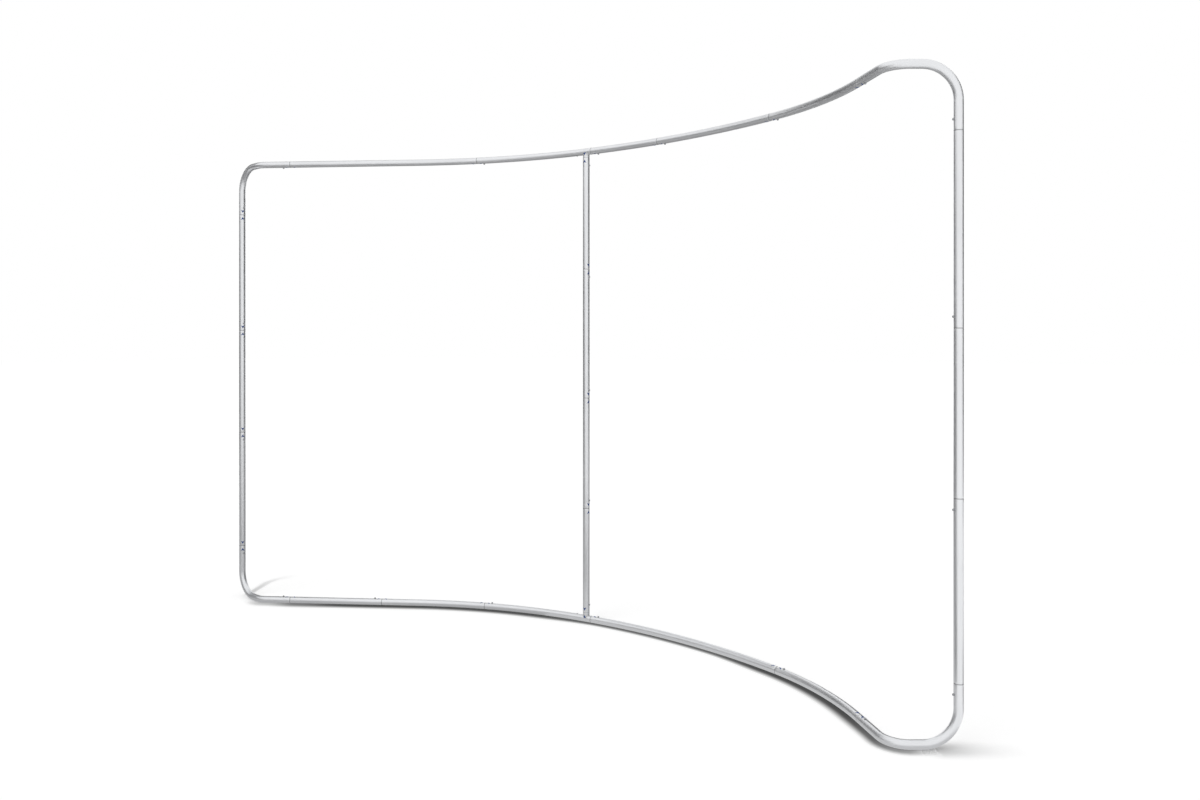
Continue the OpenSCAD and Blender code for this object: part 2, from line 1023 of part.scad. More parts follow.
module button_left_post_3() {
  left_button(2);
}

module button_left_post_4() {
  left_button(3);
}

module button_middle_post_1() {
  middle_button(0);
}

module button_middle_post_2() {
  middle_button(1);
}

module button_middle_post_3() {
  middle_button(2);
}

module button_middle_post_4() {
  middle_button(3);
}

module button_middle_post_5() {
  middle_button(4);
}

module button_right_post_1() {
  right_button(0);
}

module button_right_post_2() {
  right_button(1);
}

module button_right_post_3() {
  right_button(2);
}

module button_right_post_4() {
  right_button(3);
}

top_rail_far_left();
top_rail_tee();
top_rail_middle_right();
top_rail_right();
top_rail_far_right();
bottom_rail_far_left();
bottom_rail_left();
bottom_rail_tee();
bottom_rail_right();
bottom_rail_far_right();
corner_top_left();
corner_top_right();
corner_bottom_left();
corner_bottom_right();
left_post_upper();
left_post_middle();
left_post_lower();
middle_post_top();
middle_post_upper();
middle_post_lower();
middle_post_bottom();
right_post_upper();
right_post_middle();
right_post_lower();
button_top_rail_1();
button_top_rail_2();
button_top_rail_3();
button_top_rail_4();
button_top_rail_5();
button_top_rail_6();
button_bottom_rail_1();
button_bottom_rail_2();
button_bottom_rail_3();
button_bottom_rail_4();
button_bottom_rail_5();
button_bottom_rail_6();
button_left_post_1();
button_left_post_2();
button_left_post_3();
button_left_post_4();
button_middle_post_1();
button_middle_post_2();
button_middle_post_3();
button_middle_post_4();
button_middle_post_5();
button_right_post_1();
button_right_post_2();
button_right_post_3();
button_right_post_4();
spring_clips_top_rail();
spring_clips_bottom_rail();
spring_clips_posts();
arrows_top_rail();
arrows_bottom_rail();
arrows_left_post();
arrows_middle_post();
arrows_right_post();
tee_rivets();
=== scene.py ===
"""Looks of a curved knock-down tube frame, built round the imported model.

The tubes, the snap buttons, the arrow films and the rivets are rebuilt as finer meshes
in the place of their solids. The spring clips inside the tubes keep their solids.
Sizes are in millimetres until a mesh is made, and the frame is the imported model's own.
"""

import logging
import math
from collections.abc import Callable, Sequence
from dataclasses import dataclass
from enum import Enum

import bpy
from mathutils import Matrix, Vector


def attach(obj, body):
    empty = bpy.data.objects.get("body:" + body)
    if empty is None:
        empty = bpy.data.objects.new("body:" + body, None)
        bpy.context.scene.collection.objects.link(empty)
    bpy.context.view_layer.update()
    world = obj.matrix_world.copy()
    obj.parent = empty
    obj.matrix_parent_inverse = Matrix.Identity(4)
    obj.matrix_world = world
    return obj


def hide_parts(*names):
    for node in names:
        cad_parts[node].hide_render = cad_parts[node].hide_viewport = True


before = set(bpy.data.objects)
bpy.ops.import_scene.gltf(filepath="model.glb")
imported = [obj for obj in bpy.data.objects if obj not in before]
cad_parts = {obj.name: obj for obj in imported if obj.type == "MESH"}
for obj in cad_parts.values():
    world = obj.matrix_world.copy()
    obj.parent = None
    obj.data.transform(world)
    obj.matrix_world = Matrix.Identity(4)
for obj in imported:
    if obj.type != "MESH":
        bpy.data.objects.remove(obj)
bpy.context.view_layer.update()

LOG = logging.getLogger("tube_frame")
MM = 0.001
TURN = 2 * math.pi
BODY = "frame"
SHARP_ANGLE = math.radians(38)

Pair = tuple[float, float]
Triple = tuple[float, float, float]
Colour = tuple[float, float, float]
Outline = tuple[Sequence[Triple | Vector], Sequence[tuple[int, ...]]]


class Slot(Enum):
    """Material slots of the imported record."""

    TUBE = "tube"
    BUTTON = "button"
    CLIP = "clip"
    FILM = "arrow_film"
    RIVET = "rivet"


class End(Enum):
    """What a tube ends in at a seam."""

    SOCKET = "socket"
    SPIGOT = "spigot"


class Side(Enum):
    """A half of the frame, as the sign of its X."""

    LEFT = -1
    RIGHT = 1

    @classmethod
    def of(cls, run: float) -> "Side":
        """Returns the half that a run along a rail lies in."""
        return cls.LEFT if run < 0 else cls.RIGHT


class Level(Enum):
    """A rail, as the sign of the direction from it to the inside of the frame."""

    TOP = -1
    BOTTOM = 1


# ---- Shader expressions ----


class Value:
    """A number that varies over a surface. An expression on it adds Math nodes."""

    def __init__(self, graph: "Graph", socket: bpy.types.NodeSocket) -> None:
        """Keeps the graph and the output socket that carries the number."""
        self.graph = graph
        self.socket = socket

    def _join(self, operation: str, first: "Number", second: "Number") -> "Value":
        """Adds one Math node and returns its result."""
        return self.graph.node("ShaderNodeMath", {"operation": operation}, {0: first, 1: second})

    def __add__(self, other: "Number") -> "Value":
        """Returns self + other."""
        return self._join("ADD", self, other)

    def __radd__(self, other: "Number") -> "Value":
        """Returns other + self."""
        return self._join("ADD", other, self)

    def __sub__(self, other: "Number") -> "Value":
        """Returns self - other."""
        return self._join("SUBTRACT", self, other)

    def __rsub__(self, other: "Number") -> "Value":
        """Returns other - self."""
        return self._join("SUBTRACT", other, self)

    def __mul__(self, other: "Number") -> "Value":
        """Returns self * other."""
        return self._join("MULTIPLY", self, other)

    def __rmul__(self, other: "Number") -> "Value":
        """Returns other * self."""
        return self._join("MULTIPLY", other, self)

    def larger(self, other: "Number") -> "Value":
        """Returns the larger of self and other."""
        return self._join("MAXIMUM", self, other)

    def between(self, low: float, high: float) -> "Value":
        """Rises smoothly from 0 to 1 as the number goes from low to high.

        Args:
            low: Number at and below which the result is 0.
            high: Number at and above which the result is 1.

        Returns:
            The eased share.
        """
        eased_range = {"Value": self, "From Min": low, "From Max": high}
        settings = {"interpolation_type": "SMOOTHSTEP"}
        return self.graph.node("ShaderNodeMapRange", settings, eased_range)


Number = Value | float
Content = Value | float | Sequence[float]
Sockets = dict[str | int, Content]


class Graph:
    """The node tree of one material or world."""

    def __init__(self, tree: bpy.types.NodeTree) -> None:
        """Keeps the tree and empties it."""
        self.tree = tree
        tree.nodes.clear()

    def node(
        self, kind: str, settings: dict[str, str] | None = None,
        sockets: Sockets | None = None, result: str | int = 0,
    ) -> Value:
        """Adds a node.

        Args:
            kind: Type of the node.
            settings: Values of the node's own fields, set before its sockets.
            sockets: Numbers, colours or links, by the name, identifier or place of a socket.
            result: Name, identifier or place of the output that is returned.

        Returns:
            The chosen output.
        """
        made = self.tree.nodes.new(kind)
        for name, value in (settings or {}).items():
            setattr(made, name, value)
        for key, content in (sockets or {}).items():
            socket = self._socket(made.inputs, key)
            if isinstance(content, Value):
                self.tree.links.new(content.socket, socket)
            else:
                socket.default_value = content
        return Value(self, self._socket(made.outputs, result))

    @staticmethod
    def _socket(
        found: bpy.types.NodeInputs | bpy.types.NodeOutputs, key: str | int
    ) -> bpy.types.NodeSocket:
        """Finds a socket.

        Args:
            found: The inputs or outputs of a node.
            key: Place, identifier or name of the socket.

        Returns:
            The socket.
        """
        named = [] if isinstance(key, int) else [s for s in found if s.identifier == key]
        return named[0] if named else found[key]

    def attribute(self, name: str) -> Value:
        """Returns the vector that the mesh stores under a name."""
        return self.node("ShaderNodeAttribute", {"attribute_name": name}, {}, "Vector")

    def place(self) -> Value:
        """Returns the place on a piece, in metres."""
        return self.node("ShaderNodeTexCoord", {}, {}, "Object")

    def ray(self, name: str) -> Value:
        """Returns 1 where the named kind of ray meets the surface, and 0 elsewhere."""
        return self.node("ShaderNodeLightPath", {}, {}, name)

    def part(self, vector: Value, axis: str) -> Value:
        """Returns one coordinate of a vector."""
        return self.node("ShaderNodeSeparateXYZ", {}, {"Vector": vector}, axis)

    def noise(self, at: Value, scale: float, detail: float = 2, rough: float = 0.5) -> Value:
        """Adds a noise texture.

        Args:
            at: Place on the surface.
            scale: Size of the pattern, as features per unit.
            detail: Number of finer layers.
            rough: Strength of each finer layer.

        Returns:
            The noise, about 0 to 1 with a mean of 0.5.
        """
        sockets = {"Vector": at, "Scale": scale, "Detail": detail, "Roughness": rough}
        return self.node("ShaderNodeTexNoise", {}, sockets)

    def grain(self, at: Value, scales: Triple, detail: float = 2, rough: float = 0.5) -> Value:
        """Adds noise that is finer along one axis than along another.

        Args:
            at: Place on the surface.
            scales: Features per unit along each axis.
            detail: Number of finer layers.
            rough: Strength of each finer layer.

        Returns:
            The noise, about 0 to 1 with a mean of 0.5.
        """
        settings = {"operation": "MULTIPLY"}
        scaled = self.node("ShaderNodeVectorMath", settings, {0: at, 1: scales})
        return self.noise(scaled, 1, detail, rough)

    def blend(self, share: Number, first: Content, second: Content) -> Value:
        """Mixes two colours.

        Args:
            share: 0 for the first colour and 1 for the second.
            first: Colour, or a link to one.
            second: Colour, or a link to one.

        Returns:
            The mixed colour.
        """
        sockets: Sockets = {"Factor_Float": share}
        for key, colour in (("A_Color", first), ("B_Color", second)):
            sockets[key] = colour if isinstance(colour, Value) else (*colour, 1.0)
        return self.node("ShaderNodeMix", {"data_type": "RGBA"}, sockets, "Result_Color")

    def bump(self, height: Value, depth_mm: float, strength: float) -> Value:
        """Turns a height into a normal.

        Args:
            height: Height over the surface, 0 to 1.
            depth_mm: Depth of the relief from 0 to 1, in millimetres.
            strength: Strength of the effect.

        Returns:
            The bent normal.
        """
        sockets = {"Strength": strength, "Distance": depth_mm * MM, "Height": height}
        return self.node("ShaderNodeBump", {}, sockets)

    def white(self, kind: str, strength: float) -> Value:
        """Returns a white shader that gives light, of a kind with a colour and a strength."""
        return self.node(kind, {}, {"Color": (1, 1, 1, 1), "Strength": strength})

    def matt(self, tone: float) -> Value:
        """Returns a diffuse shader of one grey tone."""
        return self.node("ShaderNodeBsdfDiffuse", {}, {"Color": (tone, tone, tone, 1.0)})

    def mix(self, share: Value, first: Value, second: Value) -> Value:
        """Returns a mix of two shaders, the first at share 0."""
        return self.node("ShaderNodeMixShader", {}, {0: share, 1: first, 2: second})

    def surface(self, shader: Value, kind: str = "ShaderNodeOutputMaterial") -> None:
        """Ends the tree in an output that shows a shader."""
        made = self.tree.nodes.new(kind)
        self.tree.links.new(shader.socket, made.inputs["Surface"])


def new_material(name: str) -> tuple[bpy.types.Material, Graph]:
    """Makes a material with an empty tree.

    Args:
        name: Name of the material.

    Returns:
        The material and its tree.
    """
    made = bpy.data.materials.new(name)
    made.use_nodes = True
    return made, Graph(made.node_tree)


# ---- Finishes ----


@dataclass(frozen=True)
class Finish:
    """The look of one material, shown by a Principled BSDF."""

    name: str

    def paint(self, graph: Graph) -> Sockets:
        """Returns what the Principled BSDF's sockets hold."""
        raise NotImplementedError

    def material(self) -> bpy.types.Material:
        """Makes the material.

        Returns:
            The material, named as the finish is.
        """
        made, graph = new_material(self.name)
        graph.surface(graph.node("ShaderNodeBsdfPrincipled", {}, self.paint(graph)))
        return made


@dataclass(frozen=True)
class SatinTube(Finish):
    """Satin aluminium tube: drawn lines along it, handling marks and worn edges.

    The mesh stores "run" (distance along the tube, then the place in its section,
    in metres, as if the tube were straight) and "marks" (worn edge, also brightened as a
    painted highlight on the seam bevels; nearness to a seam, which also sets a painted
    shade in the seam groove; nearness to a weld; each 0 to 1).
    """

    name: str = "satin_aluminium_tube"
    tone: Colour = (0.84, 0.85, 0.87)
    shade: Colour = (0.77, 0.78, 0.80)
    bright: Colour = (0.93, 0.94, 0.95)
    heat: Colour = (0.47, 0.46, 0.45)
    # Dark colour of the painted shade in the seam groove.
    dirt: Colour = (0.10, 0.10, 0.11)
    metallic: float = 0.92
    roughness: float = 0.37
    # Seam nearness over which the painted groove shade fades in.
    groove_shade_start: float = 0.930
    groove_shade_end: float = 0.952
    line_scale: Triple = (6, 900, 900)
    hair_scale: Triple = (25, 3200, 3200)
    cloud_scale: Triple = (2.2, 30, 30)
    smudge_scale: Triple = (14, 60, 60)
    scuff_scale: Triple = (2600, 40, 40)
    relief: float = 0.02

    def paint(self, graph: Graph) -> Sockets:
        """Layers tone, lines, scuffs, edge wear and painted highlight, weld heat, painted groove
        shade.

        Args:
            graph: The material's tree.

        Returns:
            What the Principled BSDF's sockets hold.
        """
        run, marks = graph.attribute("run"), graph.attribute("marks")
        edge, seam, weld = (graph.part(marks, axis) for axis in "XYZ")
        lines = graph.grain(run, self.line_scale, 3)
        hair = graph.grain(run, self.hair_scale, 2)
        cloud = graph.grain(run, self.cloud_scale, 3)
        smudge = graph.grain(run, self.smudge_scale, 4, 0.6).between(0.5, 0.72)
        scuff = graph.grain(run, self.scuff_scale, 3).between(0.55, 0.7) * seam
        # Worn edges, brightened also as a painted highlight on the seam bevels.
        edge_wear_and_highlight = (edge * (0.6 + 0.6 * cloud)).between(0.25, 0.9)
        # Painted shade in the seam groove, lighter where the edge is worn.
        groove = seam.between(self.groove_shade_start, self.groove_shade_end) * (1 - 0.7 * edge_wear_and_highlight)
        tone = graph.blend(cloud.between(0.3, 0.7), self.shade, self.tone)
        for share, layer in (
            (lines.between(0.35, 0.65) * 0.22, self.bright),
            (scuff * 0.35, self.bright),
            # Worn edges and painted highlight on the seam bevels.
            (edge_wear_and_highlight * 0.6, self.bright),
            (weld * 0.55, self.heat),
            # Painted shade: the seam groove is darkened toward the dirt colour.
            (groove * 0.55, self.dirt),
        ):
            tone = graph.blend(share, tone, layer)
        roughness = self.roughness + 0.10 * (cloud - 0.5) + 0.10 * (lines - 0.5)
        roughness = roughness + 0.07 * smudge + 0.06 * scuff - 0.12 * edge_wear_and_highlight + 0.10 * weld
        height = 0.6 * lines + 0.4 * hair + 0.5 * scuff
        return {
            "Base Color": tone,
            "Metallic": self.metallic,
            "Roughness": roughness,
            "Normal": graph.bump(height, self.relief, 0.6),
        }


@dataclass(frozen=True)
class TurnedSteel(Finish):
    """Plated steel pin with a worn dome.

    The mesh stores "run" (place on the pin, in metres) and "marks" (worn dome, dirt
    at the foot, unused).
    """

    name: str = "plated_steel_button"
    tone: Colour = (0.30, 0.31, 0.33)
    bright: Colour = (0.62, 0.63, 0.64)
    dirt: Colour = (0.10, 0.10, 0.10)
    metallic: float = 1.0
    roughness: float = 0.30
    turned_scale: Triple = (7000, 300, 300)
    speck_scale: float = 2400
    relief: float = 0.01

    def paint(self, graph: Graph) -> Sockets:
        """Layers turning lines, wear and dirt.

        Args:
            graph: The material's tree.

        Returns:
            What the Principled BSDF's sockets hold.
        """
        run, marks = graph.attribute("run"), graph.attribute("marks")
        worn, foot = (graph.part(marks, axis) for axis in "XY")
        turned = graph.grain(run, self.turned_scale, 2)
        specks = graph.noise(run, self.speck_scale, 3)
        tone = graph.blend(turned.between(0.35, 0.7) * 0.5, self.tone, self.bright)
        tone = graph.blend(worn * specks.between(0.35, 0.6), tone, self.bright)
        return {
            "Base Color": graph.blend(foot * specks.between(0.4, 0.65), tone, self.dirt),
            "Metallic": self.metallic,
            "Roughness": self.roughness + 0.16 * (specks - 0.5) + 0.2 * foot - 0.06 * worn,
            "Normal": graph.bump(turned + 0.5 * specks, self.relief, 0.5),
        }


@dataclass(frozen=True)
class SpringSteel(Finish):
    """Blued spring strip with rolling lines, for the clips inside the tubes."""

    name: str = "spring_steel_clip"
    tone: Colour = (0.24, 0.25, 0.27)
    bright: Colour = (0.42, 0.43, 0.45)
    metallic: float = 1.0
    roughness: float = 0.36
    rolled_scale: Triple = (300, 300, 2400)
    stain_scale: float = 60
    relief: float = 0.01

    def paint(self, graph: Graph) -> Sockets:
        """Layers rolling lines and stains.

        Args:
            graph: The material's tree.

        Returns:
            What the Principled BSDF's sockets hold.
        """
        at = graph.place()
        rolled = graph.grain(at, self.rolled_scale, 3)
        stain = graph.noise(at, self.stain_scale, 3)
        tone = graph.blend(rolled.between(0.3, 0.7), self.tone, self.bright)
        return {
            "Base Color": graph.blend(stain.between(0.5, 0.7) * 0.4, tone, self.tone),
            "Metallic": self.metallic,
            "Roughness": self.roughness + 0.15 * (stain - 0.5),
            "Normal": graph.bump(rolled, self.relief, 0.4),
        }


@dataclass(frozen=True)
class BlueFilm(Finish):
    """Printed vinyl film of the alignment arrows, with a paler cut edge.

    The mesh stores "marks" (cut edge, unused, unused).
    """

    name: str = "blue_vinyl_arrow"
    tone: Colour = (0.004, 0.052, 0.23)
    deep: Colour = (0.002, 0.034, 0.17)
    edge: Colour = (0.02, 0.09, 0.30)
    roughness: float = 0.52
    gloss: float = 0.15
    grain_scale: float = 1800
    patch_scale: float = 120
    relief: float = 0.01

    def paint(self, graph: Graph) -> Sockets:
        """Layers uneven print and the cut edge.

        Args:
            graph: The material's tree.

        Returns:
            What the Principled BSDF's sockets hold.
        """
        at = graph.place()
        cut = graph.part(graph.attribute("marks"), "X")
        fine, patch = (graph.noise(at, scale, 3) for scale in (self.grain_scale, self.patch_scale))
        tone = graph.blend(patch.between(0.3, 0.7), self.deep, self.tone)
        return {
            "Base Color": graph.blend(cut * fine.between(0.3, 0.6) * 0.5, tone, self.edge),
            "Roughness": self.roughness + 0.2 * (patch - 0.5) + 0.15 * cut,
            "Specular IOR Level": self.gloss,
            "Normal": graph.bump(fine + 0.5 * patch, self.relief, 0.3),
        }


@dataclass(frozen=True)
class RivetAluminium(Finish):
    """Pressed aluminium rivet head with a dark mandrel hole.

    The mesh stores "marks" (worn rim, mandrel hole, unused).
    """

    name: str = "aluminium_rivet"
    tone: Colour = (0.50, 0.51, 0.52)
    bright: Colour = (0.72, 0.73, 0.74)
    hole: Colour = (0.16, 0.16, 0.17)
    metallic: float = 0.9
    roughness: float = 0.36
    grain_scale: float = 1600
    relief: float = 0.02

    def paint(self, graph: Graph) -> Sockets:
        """Layers grain, the rubbed rim and the dark hole.

        Args:
            graph: The material's tree.

        Returns:
            What the Principled BSDF's sockets hold.
        """
        at, marks = graph.place(), graph.attribute("marks")
        rim, mandrel = (graph.part(marks, axis) for axis in "XY")
        grain = graph.noise(at, self.grain_scale, 3)
        tone = graph.blend(grain.between(0.3, 0.7) * 0.5, self.tone, self.bright)
        tone = graph.blend(rim * 0.6, tone, self.bright)
        return {
            "Base Color": graph.blend(mandrel, tone, self.hole),
            "Metallic": self.metallic,
            "Roughness": self.roughness + 0.2 * (grain - 0.5) + 0.2 * mandrel,
            "Normal": graph.bump(grain, self.relief, 0.4),
        }


# ---- Meshes ----


@dataclass(frozen=True)
class Marks:
    """What a point of a mesh tells its finish: up to three shares from 0 to 1."""

    first: float = 0.0
    second: float = 0.0
    third: float = 0.0


PLAIN = Marks()
Placed = tuple[Vector, Triple]


class Sketch:
    """Gathers the points and faces of one piece, in millimetres."""

    def __init__(self) -> None:
        """Starts with nothing."""
        self.points: list[Vector] = []
        self.runs: list[Triple] = []
        self.marks: list[Triple] = []
        self.faces: list[tuple[int, ...]] = []

    def point(self, at: Vector, run: Triple, marks: Marks = PLAIN) -> int:
        """Adds a point.

        Args:
            at: Place in the frame.
            run: Place on the straightened piece.
            marks: What the finish is told there.

        Returns:
            Number of the point.
        """
        self.points.append(at)
        self.runs.append(run)
        self.marks.append((marks.first, marks.second, marks.third))
        return len(self.points) - 1

    def loop(
        self, count: int, place: Callable[[float], Placed], marks: Marks = PLAIN
    ) -> list[int]:
        """Adds a closed loop of points at even angles.

        Args:
            count: Number of points.
            place: Gives the two places of the point at an angle.
            marks: What the finish is told there.

        Returns:
            Numbers of the points.
        """
        return [self.point(*place(k * TURN / count), marks) for k in range(count)]

    def band(self, first: Sequence[int], second: Sequence[int]) -> None:
        """Joins two closed loops with four-sided faces.

        Args:
            first: Numbers of the points of one loop.
            second: Those of the other loop, as many.
        """
        ahead, above = (*first[1:], first[0]), (*second[1:], second[0])
        self.faces += list(zip(first, ahead, above, second))

    def net(self, grid: Sequence[Sequence[int]], skipped: set[tuple[int, int]]) -> None:
        """Joins closed loops of the same length, and the last one to the first.

        Args:
            grid: The loops.
            skipped: Loop and place of each face that is left out.
        """
        for i, row in enumerate(grid):
            after = grid[(i + 1) % len(grid)]
            for j in range(len(row)):
                if (i, j) not in skipped:
                    k = (j + 1) % len(row)
                    self.faces.append((row[j], row[k], after[k], after[j]))

    def fan(self, loop: Sequence[int], centre: int) -> None:
        """Closes a loop with triangles that meet at a centre."""
        self.faces += [(here, after, centre) for here, after in zip(loop, (*loop[1:], loop[0]))]

    def build(
        self, name: str, material: bpy.types.Material, slot: Slot, node: str, body: str = BODY
    ) -> bpy.types.Object:
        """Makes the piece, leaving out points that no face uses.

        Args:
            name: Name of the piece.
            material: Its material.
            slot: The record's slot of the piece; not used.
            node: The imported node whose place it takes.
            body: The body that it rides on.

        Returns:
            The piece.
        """
        used = sorted({k for face in self.faces for k in face})
        place = {old: new for new, old in enumerate(used)}
        faces = [tuple(place[k] for k in face) for face in self.faces]
        mesh = bpy.data.meshes.new(name)
        mesh.from_pydata([self.points[k] * MM for k in used], [], faces)
        store_vectors(mesh, "run", [x * MM for k in used for x in self.runs[k]])
        store_vectors(mesh, "marks", [x for k in used for x in self.marks[k]])
        mesh.validate()
        mesh.shade_smooth()
        mesh.set_sharp_from_angle(angle=SHARP_ANGLE)
        mesh.materials.append(material)
        made = bpy.data.objects.new(name, mesh)
        bpy.context.scene.collection.objects.link(made)
        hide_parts(node)
        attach(made, body)
        LOG.info("%s: %d faces, on %s", name, len(mesh.polygons), body)
        return made


def store_vectors(mesh: bpy.types.Mesh, name: str, numbers: Sequence[float]) -> None:
    """Stores a vector for each point of a mesh.

    Args:
        mesh: The mesh.
        name: Name that a shader finds the vectors by.
        numbers: Their coordinates, one after another.
    """
    mesh.attributes.new(name, "FLOAT_VECTOR", "POINT").data.foreach_set("vector", numbers)


# ---- Courses: the centrelines that the tubes follow ----


@dataclass(frozen=True)
class Station:
    """A place on a centreline."""

    at: Vector
    along: Vector
    inner: Vector

    def across(self) -> Vector:
        """Returns the direction a quarter turn on from the inner side."""
        return self.along.cross(self.inner)

    def on_tube(self, radius: float, angle: float) -> Vector:
        """Returns the point at a radius and at an angle from the inner side."""
        return self.at + radius * (math.cos(angle) * self.inner + math.sin(angle) * self.across())

    def shifted(self, along: float, inner: float, across: float) -> Vector:
        """Returns the point at three distances from the station."""
        return self.at + along * self.along + inner * self.inner + across * self.across()

    def ringed(self, height: float, radius: float, angle: float) -> Placed:
        """Returns the two places of a point at a height and at an angle."""
        flat = (height, radius * math.cos(angle), radius * math.sin(angle))
        return self.shifted(*flat), flat


@dataclass(frozen=True)
class Stretch:
    """A part of a course with one spacing of its rings."""

    start: float
    end: float
    step: float


@dataclass(frozen=True)
class Half:
    """Sizes of one half of the rails, in millimetres and degrees.

    The axis runs at the layout's long radius up to "start", at its own radius up to
    "stop" and straight from there on.
    """

    start: float
    stop: float
    radius: float
    corner_turn: float


@dataclass(frozen=True)
class Layout:
    """Sizes of the frame's centrelines, in millimetres and degrees."""

    left: Half = Half(0, 920, 2060, 37)
    right: Half = Half(1040, 1570, 1150, 80)
    long_r: float = 2550
    rail_half: float = 1585
    mid_x: float = 22.7558
    mid_y: float = 333.3898
    bottom_z: float = 16
    top_z: float = 2270
    corner_run: float = 135
    corner_r: float = 85
    corner_link: float = 40
    elbow_r: float = 120

    def half(self, side: Side) -> Half:
        """Returns the sizes of a half."""
        return self.left if side is Side.LEFT else self.right

    def height(self, level: Level) -> float:
        """Returns the height of a rail's axis."""
        return self.top_z if level is Level.TOP else self.bottom_z

    def middle(self) -> "PostCourse":
        """Returns the axis of the middle post."""
        return PostCourse((self.mid_x, self.mid_y), Vector((1, 0, 0)))

    def placed(self, side: Side, x: float, ahead: float, level: Level) -> Vector:
        """Returns the place of a point that is measured from the middle post into a half."""
        return Vector((self.mid_x + side.value * x, self.mid_y - ahead, self.height(level)))

    def half_rail(self, arc: float, side: Side) -> Triple:
        """Follows one half of a rail.

        Args:
            arc: Arc length from the middle post.
            side: The half.

        Returns:
            Distance to the side, distance to the front and turn in radians.
        """
        half = self.half(side)
        begin = min(arc, half.start) / self.long_r
        turn = begin + (min(max(arc, half.start), half.stop) - half.start) / half.radius
        x = self.long_r * math.sin(begin) + half.radius * (math.sin(turn) - math.sin(begin))
        ahead = self.long_r * (1 - math.cos(begin))
        ahead += half.radius * (math.cos(begin) - math.cos(turn))
        rest = max(0.0, arc - half.stop)
        return (x + rest * math.cos(turn), ahead + rest * math.sin(turn), turn)


FAR = 10000.0
BEND_DRAW = 0.08
BEND_EASE = 4.0
STRAIGHT_STEP = 60.0
CURVE_STEP = 16.0
BEND_STEP = 4.5


def eased(value: float, low: float, high: float) -> float:
    """Returns the share of the way from low to high, eased at both ends."""
    share = min(1.0, max(0.0, (value - low) / (high - low)))
    return share * share * (3 - 2 * share)


def inside(run: float, low: float, high: float) -> float:
    """Returns 1 between two runs, and eases to 0 just outside them."""
    return eased(run, low - BEND_EASE, low) - eased(run, high, high + BEND_EASE)


def stretch_row(stops: Sequence[float], steps: Sequence[float]) -> list[Stretch]:
    """Returns the stretches between stops, each with its own step."""
    return [Stretch(*part) for part in zip(stops, stops[1:], steps)]


class Course:
    """A centreline, followed by the distance run along it."""

    def station(self, run: float) -> Station:
        """Returns the place at a run."""
        raise NotImplementedError

    def stretches(self) -> list[Stretch]:
        """Returns the stretches of the course: here one straight stretch."""
        return stretch_row((-FAR, FAR), (STRAIGHT_STEP,))

    def draw(self, run: float) -> float:
        """Returns how far the wall is drawn down at a run: here nowhere."""
        return 0.0


@dataclass(frozen=True)
class RailCourse(Course):
    """The curved axis of a rail. The run is the arc length from the middle post."""

    layout: Layout
    level: Level

    def station(self, run: float) -> Station:
        """Finds the place at a run.

        Args:
            run: Arc length from the middle post, positive to the right.

        Returns:
            The place.
        """
        side = Side.of(run)
        x, ahead, turn = self.layout.half_rail(abs(run), side)
        along = Vector((math.cos(turn), -side.value * math.sin(turn), 0))
        up = Vector((0, 0, self.level.value))
        return Station(self.layout.placed(side, x, ahead, self.level), along, up)

    def stretches(self) -> list[Stretch]:
        """Returns the two curves and the straight ends beyond them."""
        stops = (-FAR, -self.layout.left.stop, 0, self.layout.right.stop, FAR)
        return stretch_row(stops, (STRAIGHT_STEP, CURVE_STEP, CURVE_STEP, STRAIGHT_STEP))

    def draw(self, run: float) -> float:
        """Returns how far the wall is drawn down at a run, on the bent parts."""
        halves = ((self.layout.half(side), side.value * run) for side in Side)
        return BEND_DRAW * sum(inside(arc, half.start, half.stop) for half, arc in halves)


